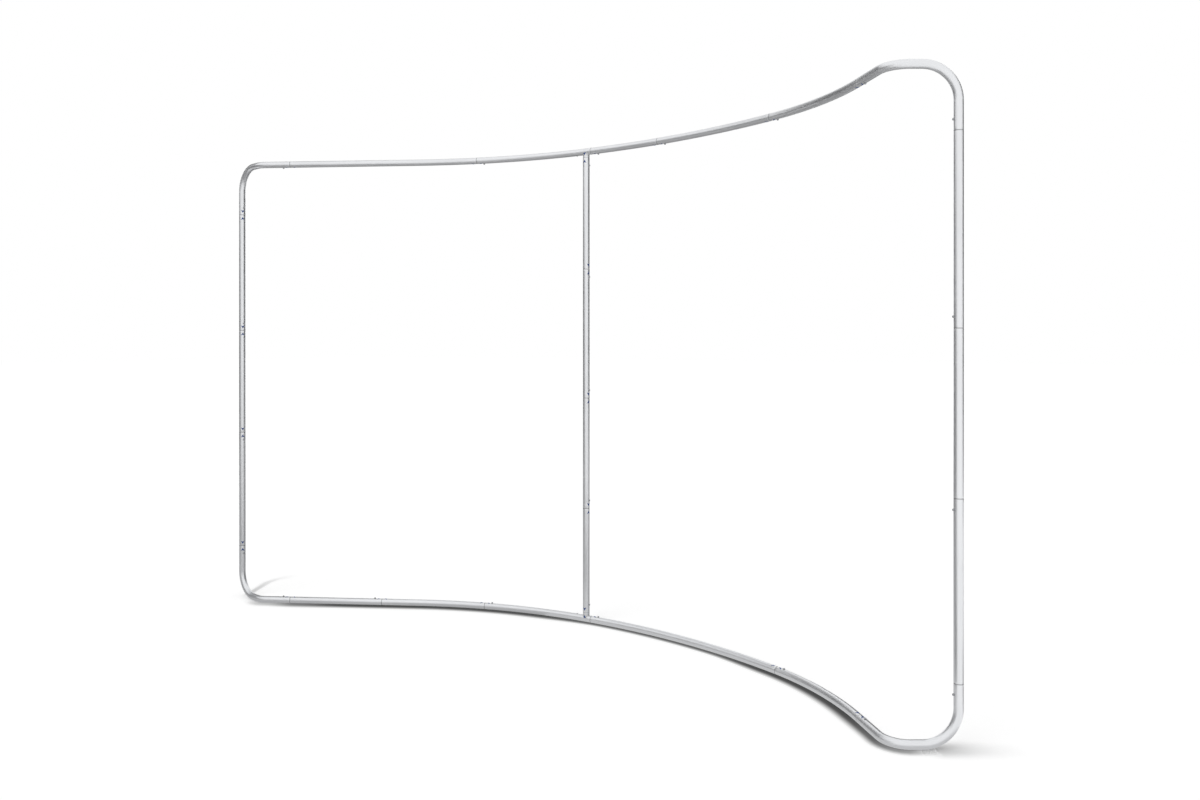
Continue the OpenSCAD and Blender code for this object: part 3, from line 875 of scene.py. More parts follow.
@dataclass(frozen=True)
class CornerCourse(Course):
    """The axis of a corner tube. The run starts at the seam with the rail."""

    layout: Layout
    level: Level
    side: Side

    @property
    def bend(self) -> Pair:
        """Returns the runs at which the flat bend starts and ends."""
        start, turn = self.layout.corner_run, self.layout.half(self.side).corner_turn
        return (start, start + self.layout.corner_r * math.radians(turn))

    @property
    def elbow(self) -> Pair:
        """Returns the runs at which the elbow starts and ends."""
        start = self.bend[1] + self.layout.corner_link
        return (start, start + self.layout.elbow_r * TURN / 4)

    def run_at(self, leg: float) -> float:
        """Returns the run at a height above the rail's axis, on the upright leg."""
        return self.elbow[1] + leg - self.layout.elbow_r

    def station(self, run: float) -> Station:
        """Follows the tube on the right, and mirrors the place for the left.

        Args:
            run: Distance from the seam with the rail.

        Returns:
            The place.
        """
        size = self.layout
        (bend, bent), (elbow, upright) = self.bend, self.elbow
        x, ahead, turn = size.half_rail(size.rail_half, self.side)
        angle = (min(max(run, bend), bent) - bend) / size.corner_r
        start, along = self._heading(-turn), self._heading(angle - turn)
        left, up = Vector((-start.y, start.x, 0)), Vector((0, 0, self.level.value))
        at, inner = min(run, bend) * start, up
        at += size.corner_r * (math.sin(angle) * start + (1 - math.cos(angle)) * left)
        if run > bent:
            at += (min(run, elbow) - bent) * along
        if run > elbow:
            rise = (min(run, upright) - elbow) / size.elbow_r
            sine, cosine = math.sin(rise), math.cos(rise)
            at += size.elbow_r * (sine * along + (1 - cosine) * up)
            along, inner = cosine * along + sine * up, cosine * up - sine * along
        at += max(0.0, run - upright) * along
        if self.side is Side.LEFT:
            at, along, inner = (Vector((-v.x, v.y, v.z)) for v in (at, along, inner))
        return Station(at + size.placed(self.side, x, ahead, self.level), along, inner)

    @staticmethod
    def _heading(angle: float) -> Vector:
        """Returns the level direction at an angle from X."""
        return Vector((math.cos(angle), math.sin(angle), 0))

    def stretches(self) -> list[Stretch]:
        """Returns the two bends and the straight parts round them."""
        steps = (STRAIGHT_STEP, BEND_STEP, STRAIGHT_STEP, BEND_STEP, STRAIGHT_STEP)
        return stretch_row((-FAR, *self.bend, *self.elbow, FAR), steps)

    def draw(self, run: float) -> float:
        """Returns how far the wall is drawn down at a run, on the two bends."""
        return BEND_DRAW * (inside(run, *self.bend) + inside(run, *self.elbow))


@dataclass(frozen=True)
class PostCourse(Course):
    """The axis of a post. The run is the height above the floor."""

    foot: Pair
    face: Vector

    def station(self, run: float) -> Station:
        """Returns the place at a height."""
        return Station(Vector((*self.foot, run)), Vector((0, 0, 1)), self.face)


@dataclass(frozen=True)
class StubCourse(Course):
    """The straight axis of a tee stub. The run is the height above the rail's axis."""

    foot: Station

    def station(self, run: float) -> Station:
        """Returns the place at a height."""
        return Station(self.foot.at + run * self.foot.along, self.foot.along, self.foot.inner)


# ---- Tubes ----


@dataclass(frozen=True)
class Ring:
    """One ring of a tube's closed section, with its share of edge wear and painted highlight."""

    run: float
    radius: float
    edge: float = 0.0


@dataclass(frozen=True)
class TubeSizes:
    """Sizes that every tube shares, in millimetres."""

    radius: float = 16.0
    bore: float = 14.8
    spigot: float = 14.6
    spigot_bore: float = 13.4
    spigot_length: float = 60.0
    tip_length: float = 1.2
    tip_taper: float = 0.5
    groove: float = 1.6
    groove_radius: float = 15.52
    collar: float = 7.0
    soft: float = 0.1
    seam_gap: float = 0.1
    round_out: float = 0.45
    round_in: float = 0.3
    sides: int = 48
    button_back: float = 38.0
    hole_radius: float = 4.15
    hole_round: float = 0.3
    hole_cells: int = 3
    hole_pitch: float = 2.1
    hole_clear: float = 0.6
    seam_fade: float = 30.0
    fade_steps: int = 3
    least_step: float = 1.0


SIZES = TubeSizes()
ROUND_STEPS = 3
SAME_RUN = 1e-3


def rounded(start: Pair, end: Pair) -> list[Pair]:
    """Rounds the corner of a section with a quarter of an ellipse.

    Args:
        start: Distance from the seam and radius where the rounding starts.
        end: The same where it ends.

    Returns:
        Distances and radii, both ends included; the radius changes last at the start.
    """
    (d0, r0), (d1, r1) = start, end
    angles = (k / ROUND_STEPS * TURN / 4 for k in range(ROUND_STEPS + 1))
    return [(d0 + (d1 - d0) * math.sin(a), r0 + (r1 - r0) * (1 - math.cos(a))) for a in angles]


@dataclass(frozen=True)
class Tube:
    """One tube: a closed wall swept along a course, with a through hole for each button."""

    node: str
    course: Course
    start: float
    end: float
    start_end: End
    end_end: End
    sizes: TubeSizes = SIZES

    def _lip(self, gap: float) -> list[Ring]:
        """Returns the rounded rings at a gap from the seam, on the outside of the wall."""
        radius, out = self.sizes.radius, self.sizes.round_out
        arc = rounded((gap + out, radius), (gap, radius - out))
        # The edge share brightens these rim rings: wear, and a painted highlight on the seam bevel.
        return [Ring(d, r, 1.0 if k else 0.4) for k, (d, r) in enumerate(arc)]

    def socket(self) -> list[Ring]:
        """Lists the rings round a plain end, from the outside of the wall to the bore.

        Returns:
            Rings whose run is the distance from the seam into the tube.
        """
        gap, into, bore = self.sizes.seam_gap, self.sizes.round_in, self.sizes.bore
        inner = rounded((gap + into, bore), (gap, bore + into))
        return self._lip(gap) + [Ring(d, r, 0.3) for d, r in reversed(inner)]

    def spigot(self) -> list[Ring]:
        """Lists the rings round a reduced end, from the outside of the tube to its bore.

        Returns:
            Rings whose run is the distance from the seam into the tube, negative on
            the part that lies in the next tube.
        """
        size = self.sizes
        soft, tip = size.soft, -size.spigot_length
        return [
            *self._lip(size.groove),
            Ring(size.groove - soft / 2, size.groove_radius, 0.1),
            Ring(soft, size.groove_radius, 0.1),
            Ring(0.0, size.groove_radius - soft, 0.2),
            Ring(0.0, size.spigot + soft, 0.2),
            Ring(-2 * soft, size.spigot, 0.2),
            *self._hole_rings(-size.button_back, size.spigot)[::-1],
            Ring(tip + size.tip_length, size.spigot, 0.3),
            Ring(tip, size.spigot - size.tip_taper, 0.6),
            Ring(tip, size.spigot_bore + 2 * soft, 0.3),
            Ring(tip + 3 * soft, size.spigot_bore),
            *self._hole_rings(-size.button_back, size.spigot_bore),
            Ring(size.collar - soft, size.spigot_bore),
            Ring(size.collar, size.spigot_bore + 2 * soft),
            Ring(size.collar, size.bore - 2 * soft),
            Ring(size.collar + 2 * soft, size.bore),
        ]

    def _hole_rings(self, centre: float, radius: float) -> list[Ring]:
        """Returns the rings that carry a button hole, in order of run."""
        cells, pitch = self.sizes.hole_cells, self.sizes.hole_pitch
        return [Ring(centre + k * pitch, radius) for k in range(-cells, cells + 1)]

    def _ends(self) -> tuple[tuple[float, int, End], ...]:
        """Returns the run of each end, the way into the tube and what the end is."""
        return (self.start, 1, self.start_end), (self.end, -1, self.end_end)

    def _wall(self, radius: float, low: float, high: float) -> list[Ring]:
        """Lists the rings of the plain wall between the two ends.

        Args:
            radius: Radius of the wall's face.
            low: Run after which the wall starts.
            high: Run before which it ends.

        Returns:
            Rings in order of run, with those of the button holes in sockets.
        """
        size = self.sizes
        sockets = [(at, way) for at, way, end in self._ends() if end is End.SOCKET]
        centres = [at + way * size.button_back for at, way in sockets]
        fixed = [ring.run for c in centres for ring in self._hole_rings(c, radius)]
        fades = [size.seam_fade * k / size.fade_steps for k in range(1, size.fade_steps + 1)]
        stops = [at + way * fade for at, way, _ in self._ends() for fade in fades]
        for part in self.course.stretches():
            first, last = max(part.start, low), min(part.end, high)
            count = max(1, math.ceil((last - first) / part.step))
            if last > first:
                stops += [first + (last - first) * k / count for k in range(count)]
        span = (size.hole_cells + size.hole_clear) * size.hole_pitch
        free = [stop for stop in stops if all(abs(stop - c) > span for c in centres)]
        runs = sorted({round(run, 4) for run in free + fixed if low < run < high})
        kept, spaced = {round(run, 4) for run in fixed}, [runs[0]]
        for run in runs[1:]:
            if run - spaced[-1] > size.least_step or run in kept:
                spaced.append(run)
        return [Ring(run, radius) for run in spaced]

    def section(self) -> list[Ring]:
        """Lists the closed section.

        Returns:
            Rings on the outside from start to end, then in the bore back.
        """
        first, last = (
            [
                Ring(at + way * ring.run, ring.radius, ring.edge)
                for ring in (self.socket() if end is End.SOCKET else self.spigot())
            ]
            for at, way, end in self._ends()
        )
        outer = self._wall(self.sizes.radius, first[0].run, last[0].run)
        inner = self._wall(self.sizes.bore, first[-1].run, last[-1].run)
        return first[::-1] + outer + last + inner[::-1]

    def sweep(self, sketch: Sketch) -> None:
        """Adds the swept wall and its button holes.

        Args:
            sketch: The mesh.
        """
        rings = self.section()
        grid = [self._ring_points(sketch, ring) for ring in rings]
        skipped: set[tuple[int, int]] = set()
        for at, way, end in self._ends():
            back = way * self.sizes.button_back * (1 if end is End.SOCKET else -1)
            skipped |= self.hole(sketch, grid, rings, at + back)
        sketch.net(grid, skipped)

    def _ring_points(self, sketch: Sketch, ring: Ring) -> list[int]:
        """Adds the points of one ring.

        Args:
            sketch: The mesh that they go into.
            ring: The ring.

        Returns:
            Numbers of the points, from the inner side round.
        """
        station = self.course.station(ring.run)
        radius = ring.radius - self.course.draw(ring.run)
        near = min(abs(ring.run - self.start), abs(ring.run - self.end))

        def place(angle: float) -> Placed:
            """Returns the two places of the point at an angle."""
            flat = (ring.run, radius * math.cos(angle), radius * math.sin(angle))
            return station.on_tube(radius, angle), flat

        # Edge share: worn edges and a painted highlight. Seam nearness: scuffs and a painted groove
        # shade.
        marks = Marks(ring.edge, max(0.0, 1 - near / self.sizes.seam_fade))
        return sketch.loop(self.sizes.sides, place, marks)

    def hole(
        self, sketch: Sketch, grid: Sequence[Sequence[int]], rings: Sequence[Ring], run: float
    ) -> set[tuple[int, int]]:
        """Joins a round through hole to the wall's rings on both faces.

        Args:
            sketch: The mesh.
            grid: Numbers of the points of each ring.
            rings: The rings.
            run: Run of the hole's axis.

        Returns:
            Ring and place of each face that the hole takes out.
        """
        size = self.sizes
        cells, reach, soft = size.hole_cells, size.hole_radius, size.hole_round
        middles = [i for i, ring in enumerate(rings) if abs(ring.run - run) < SAME_RUN]
        middles = sorted(middles, key=lambda i: -rings[i].radius)[:2]
        edge = [(cells, k) for k in range(cells)]
        edge += [(k, cells) for k in range(cells, -cells, -1)]
        edge += [(-cells, k) for k in range(cells, -cells, -1)]
        edge += [(k, -cells) for k in range(-cells, cells)]
        edge += [(cells, k) for k in range(-cells, 0)]
        rims = []
        for i in middles:
            way = 1 if rings[i + 1].run > rings[i].run else -1
            rims.append([grid[i + way * row][column % size.sides] for row, column in edge])
        upper, lower = (rings[i].radius for i in middles)
        loops = [rims[0]]
        for radius, face, wear in (
            (reach + 2 * soft, upper, 0.0),
            (reach + soft, upper, 0.5),
            (reach + 0.3 * soft, upper - 0.3 * soft, 1.0),
            (reach, upper - soft, 0.8),
            (reach, lower + size.soft, 0.2),
            (reach + size.soft, lower, 0.0),
        ):
            loops.append(self._hole_loop(sketch, run, radius, face, wear))
        loops.append(rims[1])
        for above, below in zip(loops, loops[1:]):
            sketch.band(above[::-1], below[::-1])
        out = range(-cells, cells)
        return {(middle + i, j % size.sides) for middle in middles for i in out for j in out}

    def _hole_loop(
        self, sketch: Sketch, run: float, reach: float, radius: float, wear: float
    ) -> list[int]:
        """Adds one loop of points round a hole's axis, on a face of the wall.

        Args:
            sketch: The mesh.
            run: Run of the hole's axis.
            reach: Radius of the loop.
            radius: Radius of the wall's face that it lies on.
            wear: Share of wear.

        Returns:
            Numbers of the points.
        """
        station = self.course.station(run)

        def place(angle: float) -> Placed:
            """Returns the two places of the point at an angle."""
            along, across = reach * math.cos(angle), reach * math.sin(angle)
            inner = math.sqrt(radius * radius - across * across)
            return station.shifted(along, inner, across), (run + along, inner, across)

        return sketch.loop(8 * self.sizes.hole_cells, place, Marks(wear, 0.3))

    def build(self, material: bpy.types.Material, extra: "TeeStub | None") -> None:
        """Builds the tube in the place of its solid.

        Args:
            material: The tube's material.
            extra: A stub that is welded to the tube.
        """
        sketch = Sketch()
        self.sweep(sketch)
        if extra:
            extra.sweep(sketch)
        sketch.build(f"{self.node}_tube", material, Slot.TUBE, self.node)


@dataclass(frozen=True)
class TeeStub:
    """The coped stub of a tee tube with its reduced end and its weld."""

    course: PostCourse
    axis_z: float
    way: int
    length: float = 30.0
    radius: float = 15.8
    sunk: float = 0.3
    bead: float = 1.1
    bead_sides: int = 10
    bead_pitch: float = 2.2
    bead_ripple: float = 0.12
    bead_steps: int = 144
    bead_look: float = 0.01
    sizes: TubeSizes = SIZES

    def _cope(self, radius: float, angle: float) -> float:
        """Returns the height above the rail's axis at which the stub meets the rail."""
        across = radius * math.sin(angle)
        return math.sqrt(max(0.0, self.sizes.radius**2 - across * across))

    def sweep(self, sketch: Sketch) -> None:
        """Adds the stub's closed wall and its weld bead.

        Args:
            sketch: The mesh.
        """
        base = self.course.station(self.axis_z)
        station = Station(base.at, base.along * self.way, base.inner)
        tube = Tube("stub", StubCourse(station), 0.0, self.length, End.SPIGOT, End.SPIGOT)
        ending = [Ring(self.length - r.run, r.radius, r.edge) for r in tube.spigot()]
        grid = [
            self._foot_ring(sketch, station, self.radius, 0.0, ending[0].run),
            self._foot_ring(sketch, station, self.radius, 0.5, ending[0].run),
            *(self._level_ring(sketch, station, ring) for ring in ending),
            self._foot_ring(sketch, station, self.sizes.bore, 0.0, ending[0].run),
        ]
        foot = Ring(0, 0)
        hole = self.length + self.sizes.button_back
        sketch.net(grid, tube.hole(sketch, grid, [foot, foot, *ending, foot], hole))
        self._weld(sketch, station)

    def _foot_ring(
        self, sketch: Sketch, station: Station, radius: float, share: float, top: float
    ) -> list[int]:
        """Adds a ring that follows the cope of the foot.

        Args:
            sketch: The mesh.
            station: Foot of the stub.
            radius: Radius of the ring.
            share: 0 at the cope and 1 at the height of the end.
            top: That height.

        Returns:
            Numbers of the points.
        """

        def place(angle: float) -> Placed:
            """Returns the two places of the point at an angle."""
            cope = self._cope(radius, angle) - self.sunk
            return station.ringed(cope + (top - cope) * share, radius, angle)

        return sketch.loop(self.sizes.sides, place, Marks(0, 0, 1 - share))

    def _level_ring(self, sketch: Sketch, station: Station, ring: Ring) -> list[int]:
        """Adds a level ring of the stub.

        Args:
            sketch: The mesh.
            station: Foot of the stub.
            ring: The ring, with its height above the rail's axis as its run.

        Returns:
            Numbers of the points.
        """
        radius = min(ring.radius, self.radius)

        def place(angle: float) -> Placed:
            """Returns the two places of the point at an angle."""
            return station.ringed(ring.run, radius, angle)

        return sketch.loop(self.sizes.sides, place, Marks(ring.edge, 0.5))

    def _weld(self, sketch: Sketch, station: Station) -> None:
        """Adds the rippled weld bead that runs round the foot.

        Args:
            sketch: The mesh.
            station: Foot of the stub.
        """
        loops: list[list[int]] = []
        run, before = 0.0, self._bead_centre(station, 0.0)
        for k in range(self.bead_steps):
            angle = k * TURN / self.bead_steps
            here = self._bead_centre(station, angle)
            ahead = self._bead_centre(station, angle + self.bead_look) - here
            run += (here - before).length
            before = here
            side = math.cos(angle) * station.inner + math.sin(angle) * station.across()
            side = (side - side.project(ahead)).normalized()
            lift = ahead.normalized().cross(side)
            ripple = self.bead_ripple * math.sin(run / self.bead_pitch * TURN)
            swell = self.bead * (1 + ripple)

            def place(turn: float) -> Placed:
                """Returns the two places of the point at an angle of the bead's section."""
                across, up = math.cos(turn), math.sin(turn)
                return here + swell * (across * side + up * lift), (run, swell * across, swell * up)

            loops.append(sketch.loop(self.bead_sides, place, Marks(0, 0, 1)))
        sketch.net(loops, set())

    def _bead_centre(self, station: Station, angle: float) -> Vector:
        """Returns the middle of the bead at an angle round the stub."""
        radius = self.radius - self.bead * math.sin(angle) ** 2
        return station.ringed(self._cope(radius, angle), radius, angle)[0]


# ---- Small pieces ----


Profile = list[tuple[float, float, Marks]]


def lathe(sketch: Sketch, station: Station, profile: Profile, sides: int) -> None:
    """Turns a closed profile about the inner direction of a station.

    Args:
        sketch: The mesh.
        station: Place whose inner direction is the axis.
        profile: Radius, distance along the axis and marks, from the foot to the tip;
            the first and last radius are 0.
        sides: Number of faces round the axis.
    """
    axis, x_way = station.inner, station.along
    y_way = axis.cross(x_way)
    loops: list[list[int]] = []
    for radius, height, marks in profile[1:-1]:

        def place(angle: float) -> Placed:
            """Returns the two places of the point at an angle."""
            x, y = radius * math.cos(angle), radius * math.sin(angle)
            return station.at + height * axis + x * x_way + y * y_way, (height, x, y)

        loops.append(sketch.loop(sides, place, marks))
    for first, second in zip(loops, loops[1:]):
        sketch.band(first, second)
    for loop, (_, height, marks) in ((loops[0][::-1], profile[0]), (loops[-1], profile[-1])):
        sketch.fan(loop, sketch.point(station.at + height * axis, (height, 0, 0), marks))


@dataclass(frozen=True)
class SnapButton:
    """A domed pin on the arm of its spring strip. It slides inward on its own body."""

    name: str
    station: Station
    toward: int
    radius: float = 4.0
    top: float = 21.5
    dome: float = 5.0
    dome_steps: int = 8
    dome_share: float = 0.96
    lip: float = 0.35
    foot_round: float = 0.3
    dirt_low: float = 15.4
    dirt_high: float = 16.6
    strip_top: float = 12.539
    strip_thick: float = 0.8
    strip_half: float = 4.0
    tail: float = 10.0
    front: float = 14.0
    strip_round: float = 0.15
    end_height: float = 0.7
    end_narrowing: float = 0.03
    sides: int = 32

    def _profile(self) -> Profile:
        """Outlines the pin.

        Returns:
            The turned profile, from its foot to the top of the dome.
        """
        foot, radius, top = self.strip_top - self.strip_thick / 2, self.radius, self.top
        rise = math.asin(radius / self.dome)
        shoulder = top - self.dome * (1 - math.cos(rise))
        made = [
            (0.0, foot, PLAIN),
            (radius - self.foot_round, foot, PLAIN),
            (radius, foot + self.foot_round, PLAIN),
            (radius, self.dirt_low, Marks(0, 1)),
            (radius, self.dirt_high, Marks(0, 0.7)),
            (radius, shoulder - self.lip, Marks(0.2, 0)),
            (radius - 0.05, shoulder - 0.1, Marks(0.7, 0)),
        ]
        for k in range(self.dome_steps, 0, -1):
            angle, share = rise * k / self.dome_steps * self.dome_share, k / self.dome_steps
            height = top - self.dome * (1 - math.cos(angle))
            made.append((self.dome * math.sin(angle), height, Marks(1 - 0.5 * share, 0)))
        return [*made, (0.0, top, Marks(1, 0))]

    def _strip(self, sketch: Sketch) -> None:
        """Adds the flat arm with its rolled edges and ends.

        Args:
            sketch: The mesh.
        """
        high, low = self.strip_top, self.strip_top - self.strip_thick
        half, soft = self.strip_half, self.strip_round
        right = [(high, half - soft), (high - soft, half), (low + soft, half), (low, half - soft)]
        section = right + [(height, -across) for height, across in reversed(right)]
        tail, front, middle = -self.tail, self.front, (high + low) / 2
        stops = [(tail, self.end_height), (tail + soft, 1.0), (0.0, 1.0)]
        stops += [(front - soft, 1.0), (front, self.end_height)]
        loops = []
        for along, share in stops:
            loop = []
            for height, across in section:
                level = middle + (height - middle) * share
                wide = across * (1 - self.end_narrowing * (1 - share))
                at = self.station.shifted(self.toward * along, level, wide)
                loop.append(sketch.point(at, (level, along, wide)))
            loops.append(loop if self.toward < 0 else loop[::-1])
        for first, second in zip(loops, loops[1:]):
            sketch.band(first, second)
        sketch.faces += [tuple(reversed(loops[0])), tuple(loops[-1])]

    def build(self, material: bpy.types.Material) -> None:
        """Builds the button in the place of its solid, on its own body.

        Args:
            material: The button's material.
        """
        sketch = Sketch()
        lathe(sketch, self.station, self._profile(), self.sides)
        self._strip(sketch)
        sketch.build(f"{self.name}_pin", material, Slot.BUTTON, self.name, self.name)


@dataclass(frozen=True)
class ArrowPlace:
    """Where an arrow lies: its middle, the way it points and its turn round the tube."""

    course: Course
    run: float
    toward: int
    angle: float = 0.0


@dataclass(frozen=True)
class ArrowFilm:
    """The die-cut film arrows of one rail or post.

    A trim is the height of a rail that the arrows beside it are cut clear of.
    """

    node: str
    places: tuple[ArrowPlace, ...]
    trims: tuple[float, ...] = ()
    width: float = 18.0
    length: float = 16.0
    notch: float = 4.8
    corner: float = 0.35
    tube: float = 16.0
    lift: float = 0.02
    thick: float = 0.06
    shells: int = 6
    pitch: float = 1.6
    weld_room: float = 0.3
    trim_gap: float = 0.2

    def _outline(self) -> list[Vector]:
        """Draws the cut outline.

        Returns:
            Its points with softened corners, anticlockwise from the tip.
        """
        half_l, half_w = self.length / 2, self.width / 2
        tip, notch = Vector((half_l, 0)), Vector((self.notch - half_l, 0))
        corners = [tip, Vector((-half_l, half_w)), notch, Vector((-half_l, -half_w))]
        soft: list[Vector] = []
        for before, here, after in zip(corners[-1:] + corners, corners, corners[1:] + corners):
            back, on = (before - here).normalized(), (after - here).normalized()
            reach = self.corner / math.tan(back.angle(on) / 2)
            start, end = here + back * reach, here + on * reach
            soft += [start.lerp(here, s).lerp(here.lerp(end, s), s) for s in (0.0, 0.5, 1.0)]
        made: list[Vector] = []
        for here, after in zip(soft, soft[1:] + soft[:1]):
            steps = max(1, round((after - here).length / self.pitch))
            made += [here.lerp(after, j / steps) for j in range(steps)]
        return made

    def _add(self, sketch: Sketch, place: ArrowPlace, outline: Sequence[Vector]) -> None:
        """Wraps one arrow on its tube.

        Args:
            sketch: The mesh.
            place: Where it lies.
            outline: The cut outline.
        """
        turned = place.toward > 0
        under = self.tube + self.lift
        rims = []
        for radius, flipped in ((under, not turned), (under + self.thick, turned)):
            centre = self._wrapped(sketch, place, Vector((0, 0)), radius, 0.0)
            loops = []
            for k in range(1, self.shells + 1):
                share, rim = k / self.shells, float(k == self.shells)
                inset = [point * share for point in outline]
                loops.append([self._wrapped(sketch, place, flat, radius, rim) for flat in inset])
            rims.append(loops[-1][::-1] if turned else loops[-1])
            ordered = [loop[::-1] if flipped else loop for loop in loops]
            sketch.fan(ordered[0], centre)
            for inner, outer in zip(ordered, ordered[1:]):
                sketch.band(outer, inner)
        sketch.band(*rims)

    def _wrapped(
        self, sketch: Sketch, place: ArrowPlace, flat: Vector, radius: float, rim: float
    ) -> int:
        """Adds a point of the film, held clear of the rails that its tube is coped to.

        Args:
            sketch: The mesh.
            place: Where the arrow lies.
            flat: Distance from its middle toward its tip, and distance across it.
            radius: Radius that the film's face lies at.
            rim: Share of the cut edge.

        Returns:
            Number of the point.
        """
        run = place.run + place.toward * flat.x
        angle = place.angle + math.asin(flat.y / self.tube)
        for rail in self.trims:
            if abs(place.run - rail) <= 2 * self.tube:
                across = self.tube * math.sin(angle)
                cope = math.sqrt(max(0.0, (self.tube + self.weld_room) ** 2 - across * across))
                clear = cope + self.trim_gap
                run = max(run, rail + clear) if place.run > rail else min(run, rail - clear)
        at = place.course.station(run).on_tube(radius - place.course.draw(run), angle)
        return sketch.point(at, (flat.x, flat.y, radius), Marks(rim))

    def build(self, material: bpy.types.Material) -> None:
        """Builds the arrows in the place of their solids.

        Args:
            material: The film's material.
        """
        sketch, outline = Sketch(), self._outline()
        for place in self.places:
            self._add(sketch, place, outline)
        sketch.build(f"{self.node}_film", material, Slot.FILM, self.node)


@dataclass(frozen=True)
class Rivets:
    """The blind rivets beside the tees."""

    stations: tuple[Station, ...]
    node: str = "tee_rivets"
    base: float = 16.0
    head: float = 3.5
    height: float = 1.95
    shank: float = 1.95
    shank_length: float = 2.1
    seat: float = 0.04
    mandrel: float = 1.1
    sides: int = 32

    def _profile(self) -> Profile:
        """Outlines a rivet.

        Returns:
            The turned profile, from its shank to the mandrel hole.
        """
        base, head, shank, mandrel = self.base, self.head, self.shank, self.mandrel
        foot, seat, top = base - self.shank_length, base + self.seat, base + self.height
        return [
            (0.0, foot, PLAIN),
            (shank - 0.2, foot, PLAIN),
            (shank, foot + 0.2, PLAIN),
            (shank, seat, PLAIN),
            (head - 0.15, seat, PLAIN),
            (head, base + 0.2, Marks(1)),
            (head, base + 0.45, Marks(1)),
            (head - 0.1, base + 0.65, Marks(0.6)),
            (head - 0.5, base + 1.1, PLAIN),
            (head - 1.1, base + 1.55, PLAIN),
            (mandrel + 0.5, top - 0.08, PLAIN),
            (mandrel + 0.2, top, Marks(0.7)),
            (mandrel, top - 0.1, Marks(0.3, 0.3)),
            (mandrel - 0.1, top - 0.7, Marks(0, 1)),
            (mandrel * 0.5, top - 0.6, Marks(0, 0.8)),
            (0.0, top - 0.5, Marks(0, 0.8)),
        ]

    def build(self, material: bpy.types.Material) -> None:
        """Builds the rivets in the place of their solids.

        Args:
            material: The rivets' material.
        """
        sketch = Sketch()
        for station in self.stations:
            lathe(sketch, station, self._profile(), self.sides)
        sketch.build(f"{self.node}_heads", material, Slot.RIVET, self.node)


# ---- Sub-assemblies ----


@dataclass(frozen=True)
class Seam:
    """A joint between two tubes: its run and the side that the socket is on."""

    run: float
    socket_way: int

    def ending(self, way: int) -> End:
        """Returns what a tube that lies on one side of the seam ends in there."""
        return End.SOCKET if self.socket_way == way else End.SPIGOT


@dataclass(frozen=True)
class Finishes:
    """The materials of the frame."""

    tube: bpy.types.Material
    button: bpy.types.Material
    clip: bpy.types.Material
    film: bpy.types.Material
    rivet: bpy.types.Material


@dataclass(frozen=True)
class Line:
    """A row of tubes on one course, with the buttons and arrows of its seams.

    Seams and tubes are listed in the same order: tube i lies between seams i and i + 1.
    The seam "single" has an arrow on one side only, and "stub" is welded to the tee tube.
    """

    name: str
    course: Course
    seams: tuple[Seam, ...]
    tubes: tuple[str, ...]
    angles: tuple[float, ...] = ()
    trims: tuple[float, ...] = ()
    single: int | None = None
    stub: TeeStub | None = None
    button_back: float = 38.0
    arrow_back: float = 19.0

    def build(self, finishes: Finishes) -> None:
        """Builds the tubes, the buttons and the arrows.

        Args:
            finishes: The frame's materials.
        """
        for i, part in enumerate(self.tubes):
            low, high = sorted(self.seams[i:i + 2], key=lambda seam: seam.run)
            ends = low.ending(1), high.ending(-1)
            tube = Tube(f"{self.name}_{part}", self.course, low.run, high.run, *ends)
            tube.build(finishes.tube, self.stub if part == "tee" else None)
        for number, seam in enumerate(self.seams, 1):
            station = self.course.station(seam.run + seam.socket_way * self.button_back)
            button = SnapButton(f"button_{self.name}_{number}", station, -seam.socket_way)
            button.build(finishes.button)
        ArrowFilm(f"arrows_{self.name}", self._arrows(), self.trims).build(finishes.film)

    def _arrows(self) -> tuple[ArrowPlace, ...]:
        """Places the arrows: two at each seam, or one beside a tee stub.

        Returns:
            The places, in the order of the seams.
        """
        made = []
        for i, seam in enumerate(self.seams):
            angle = self.angles[i] if self.angles else 0.0
            for way in (1,) if i == self.single else (1, -1):
                made.append(ArrowPlace(self.course, seam.run + way * self.arrow_back, -way, angle))
        return tuple(made)


@dataclass(frozen=True)
class Rail(Line):
    """A curved rail with its tee tube. Its seams are listed from the left."""

    rivet_back: float = 51.0

    def rivet_station(self) -> Station:
        """Returns the place of the rivet beside the tee."""
        return self.course.station(-self.rivet_back)


@dataclass(frozen=True)
class Post(Line):
    """An upright post. Its seams are listed from the top."""


@dataclass(frozen=True)
class Corner:
    """A corner tube, bent outward and then up or down to an end post."""

    course: CornerCourse
    leg: float

    def build(self, finishes: Finishes) -> None:
        """Builds the tube, with a socket at both ends.

        Args:
            finishes: The frame's materials.
        """
        node = f"corner_{self.course.level.name.lower()}_{self.course.side.name.lower()}"
        end = self.course.run_at(self.leg)
        Tube(node, self.course, 0.0, end, End.SOCKET, End.SOCKET).build(finishes.tube, None)


def seam_row(runs: Sequence[float], ways: Sequence[int]) -> tuple[Seam, ...]:
    """Returns the seams at the runs, each with the side that its socket is on."""
    return tuple(Seam(run, way) for run, way in zip(runs, ways))


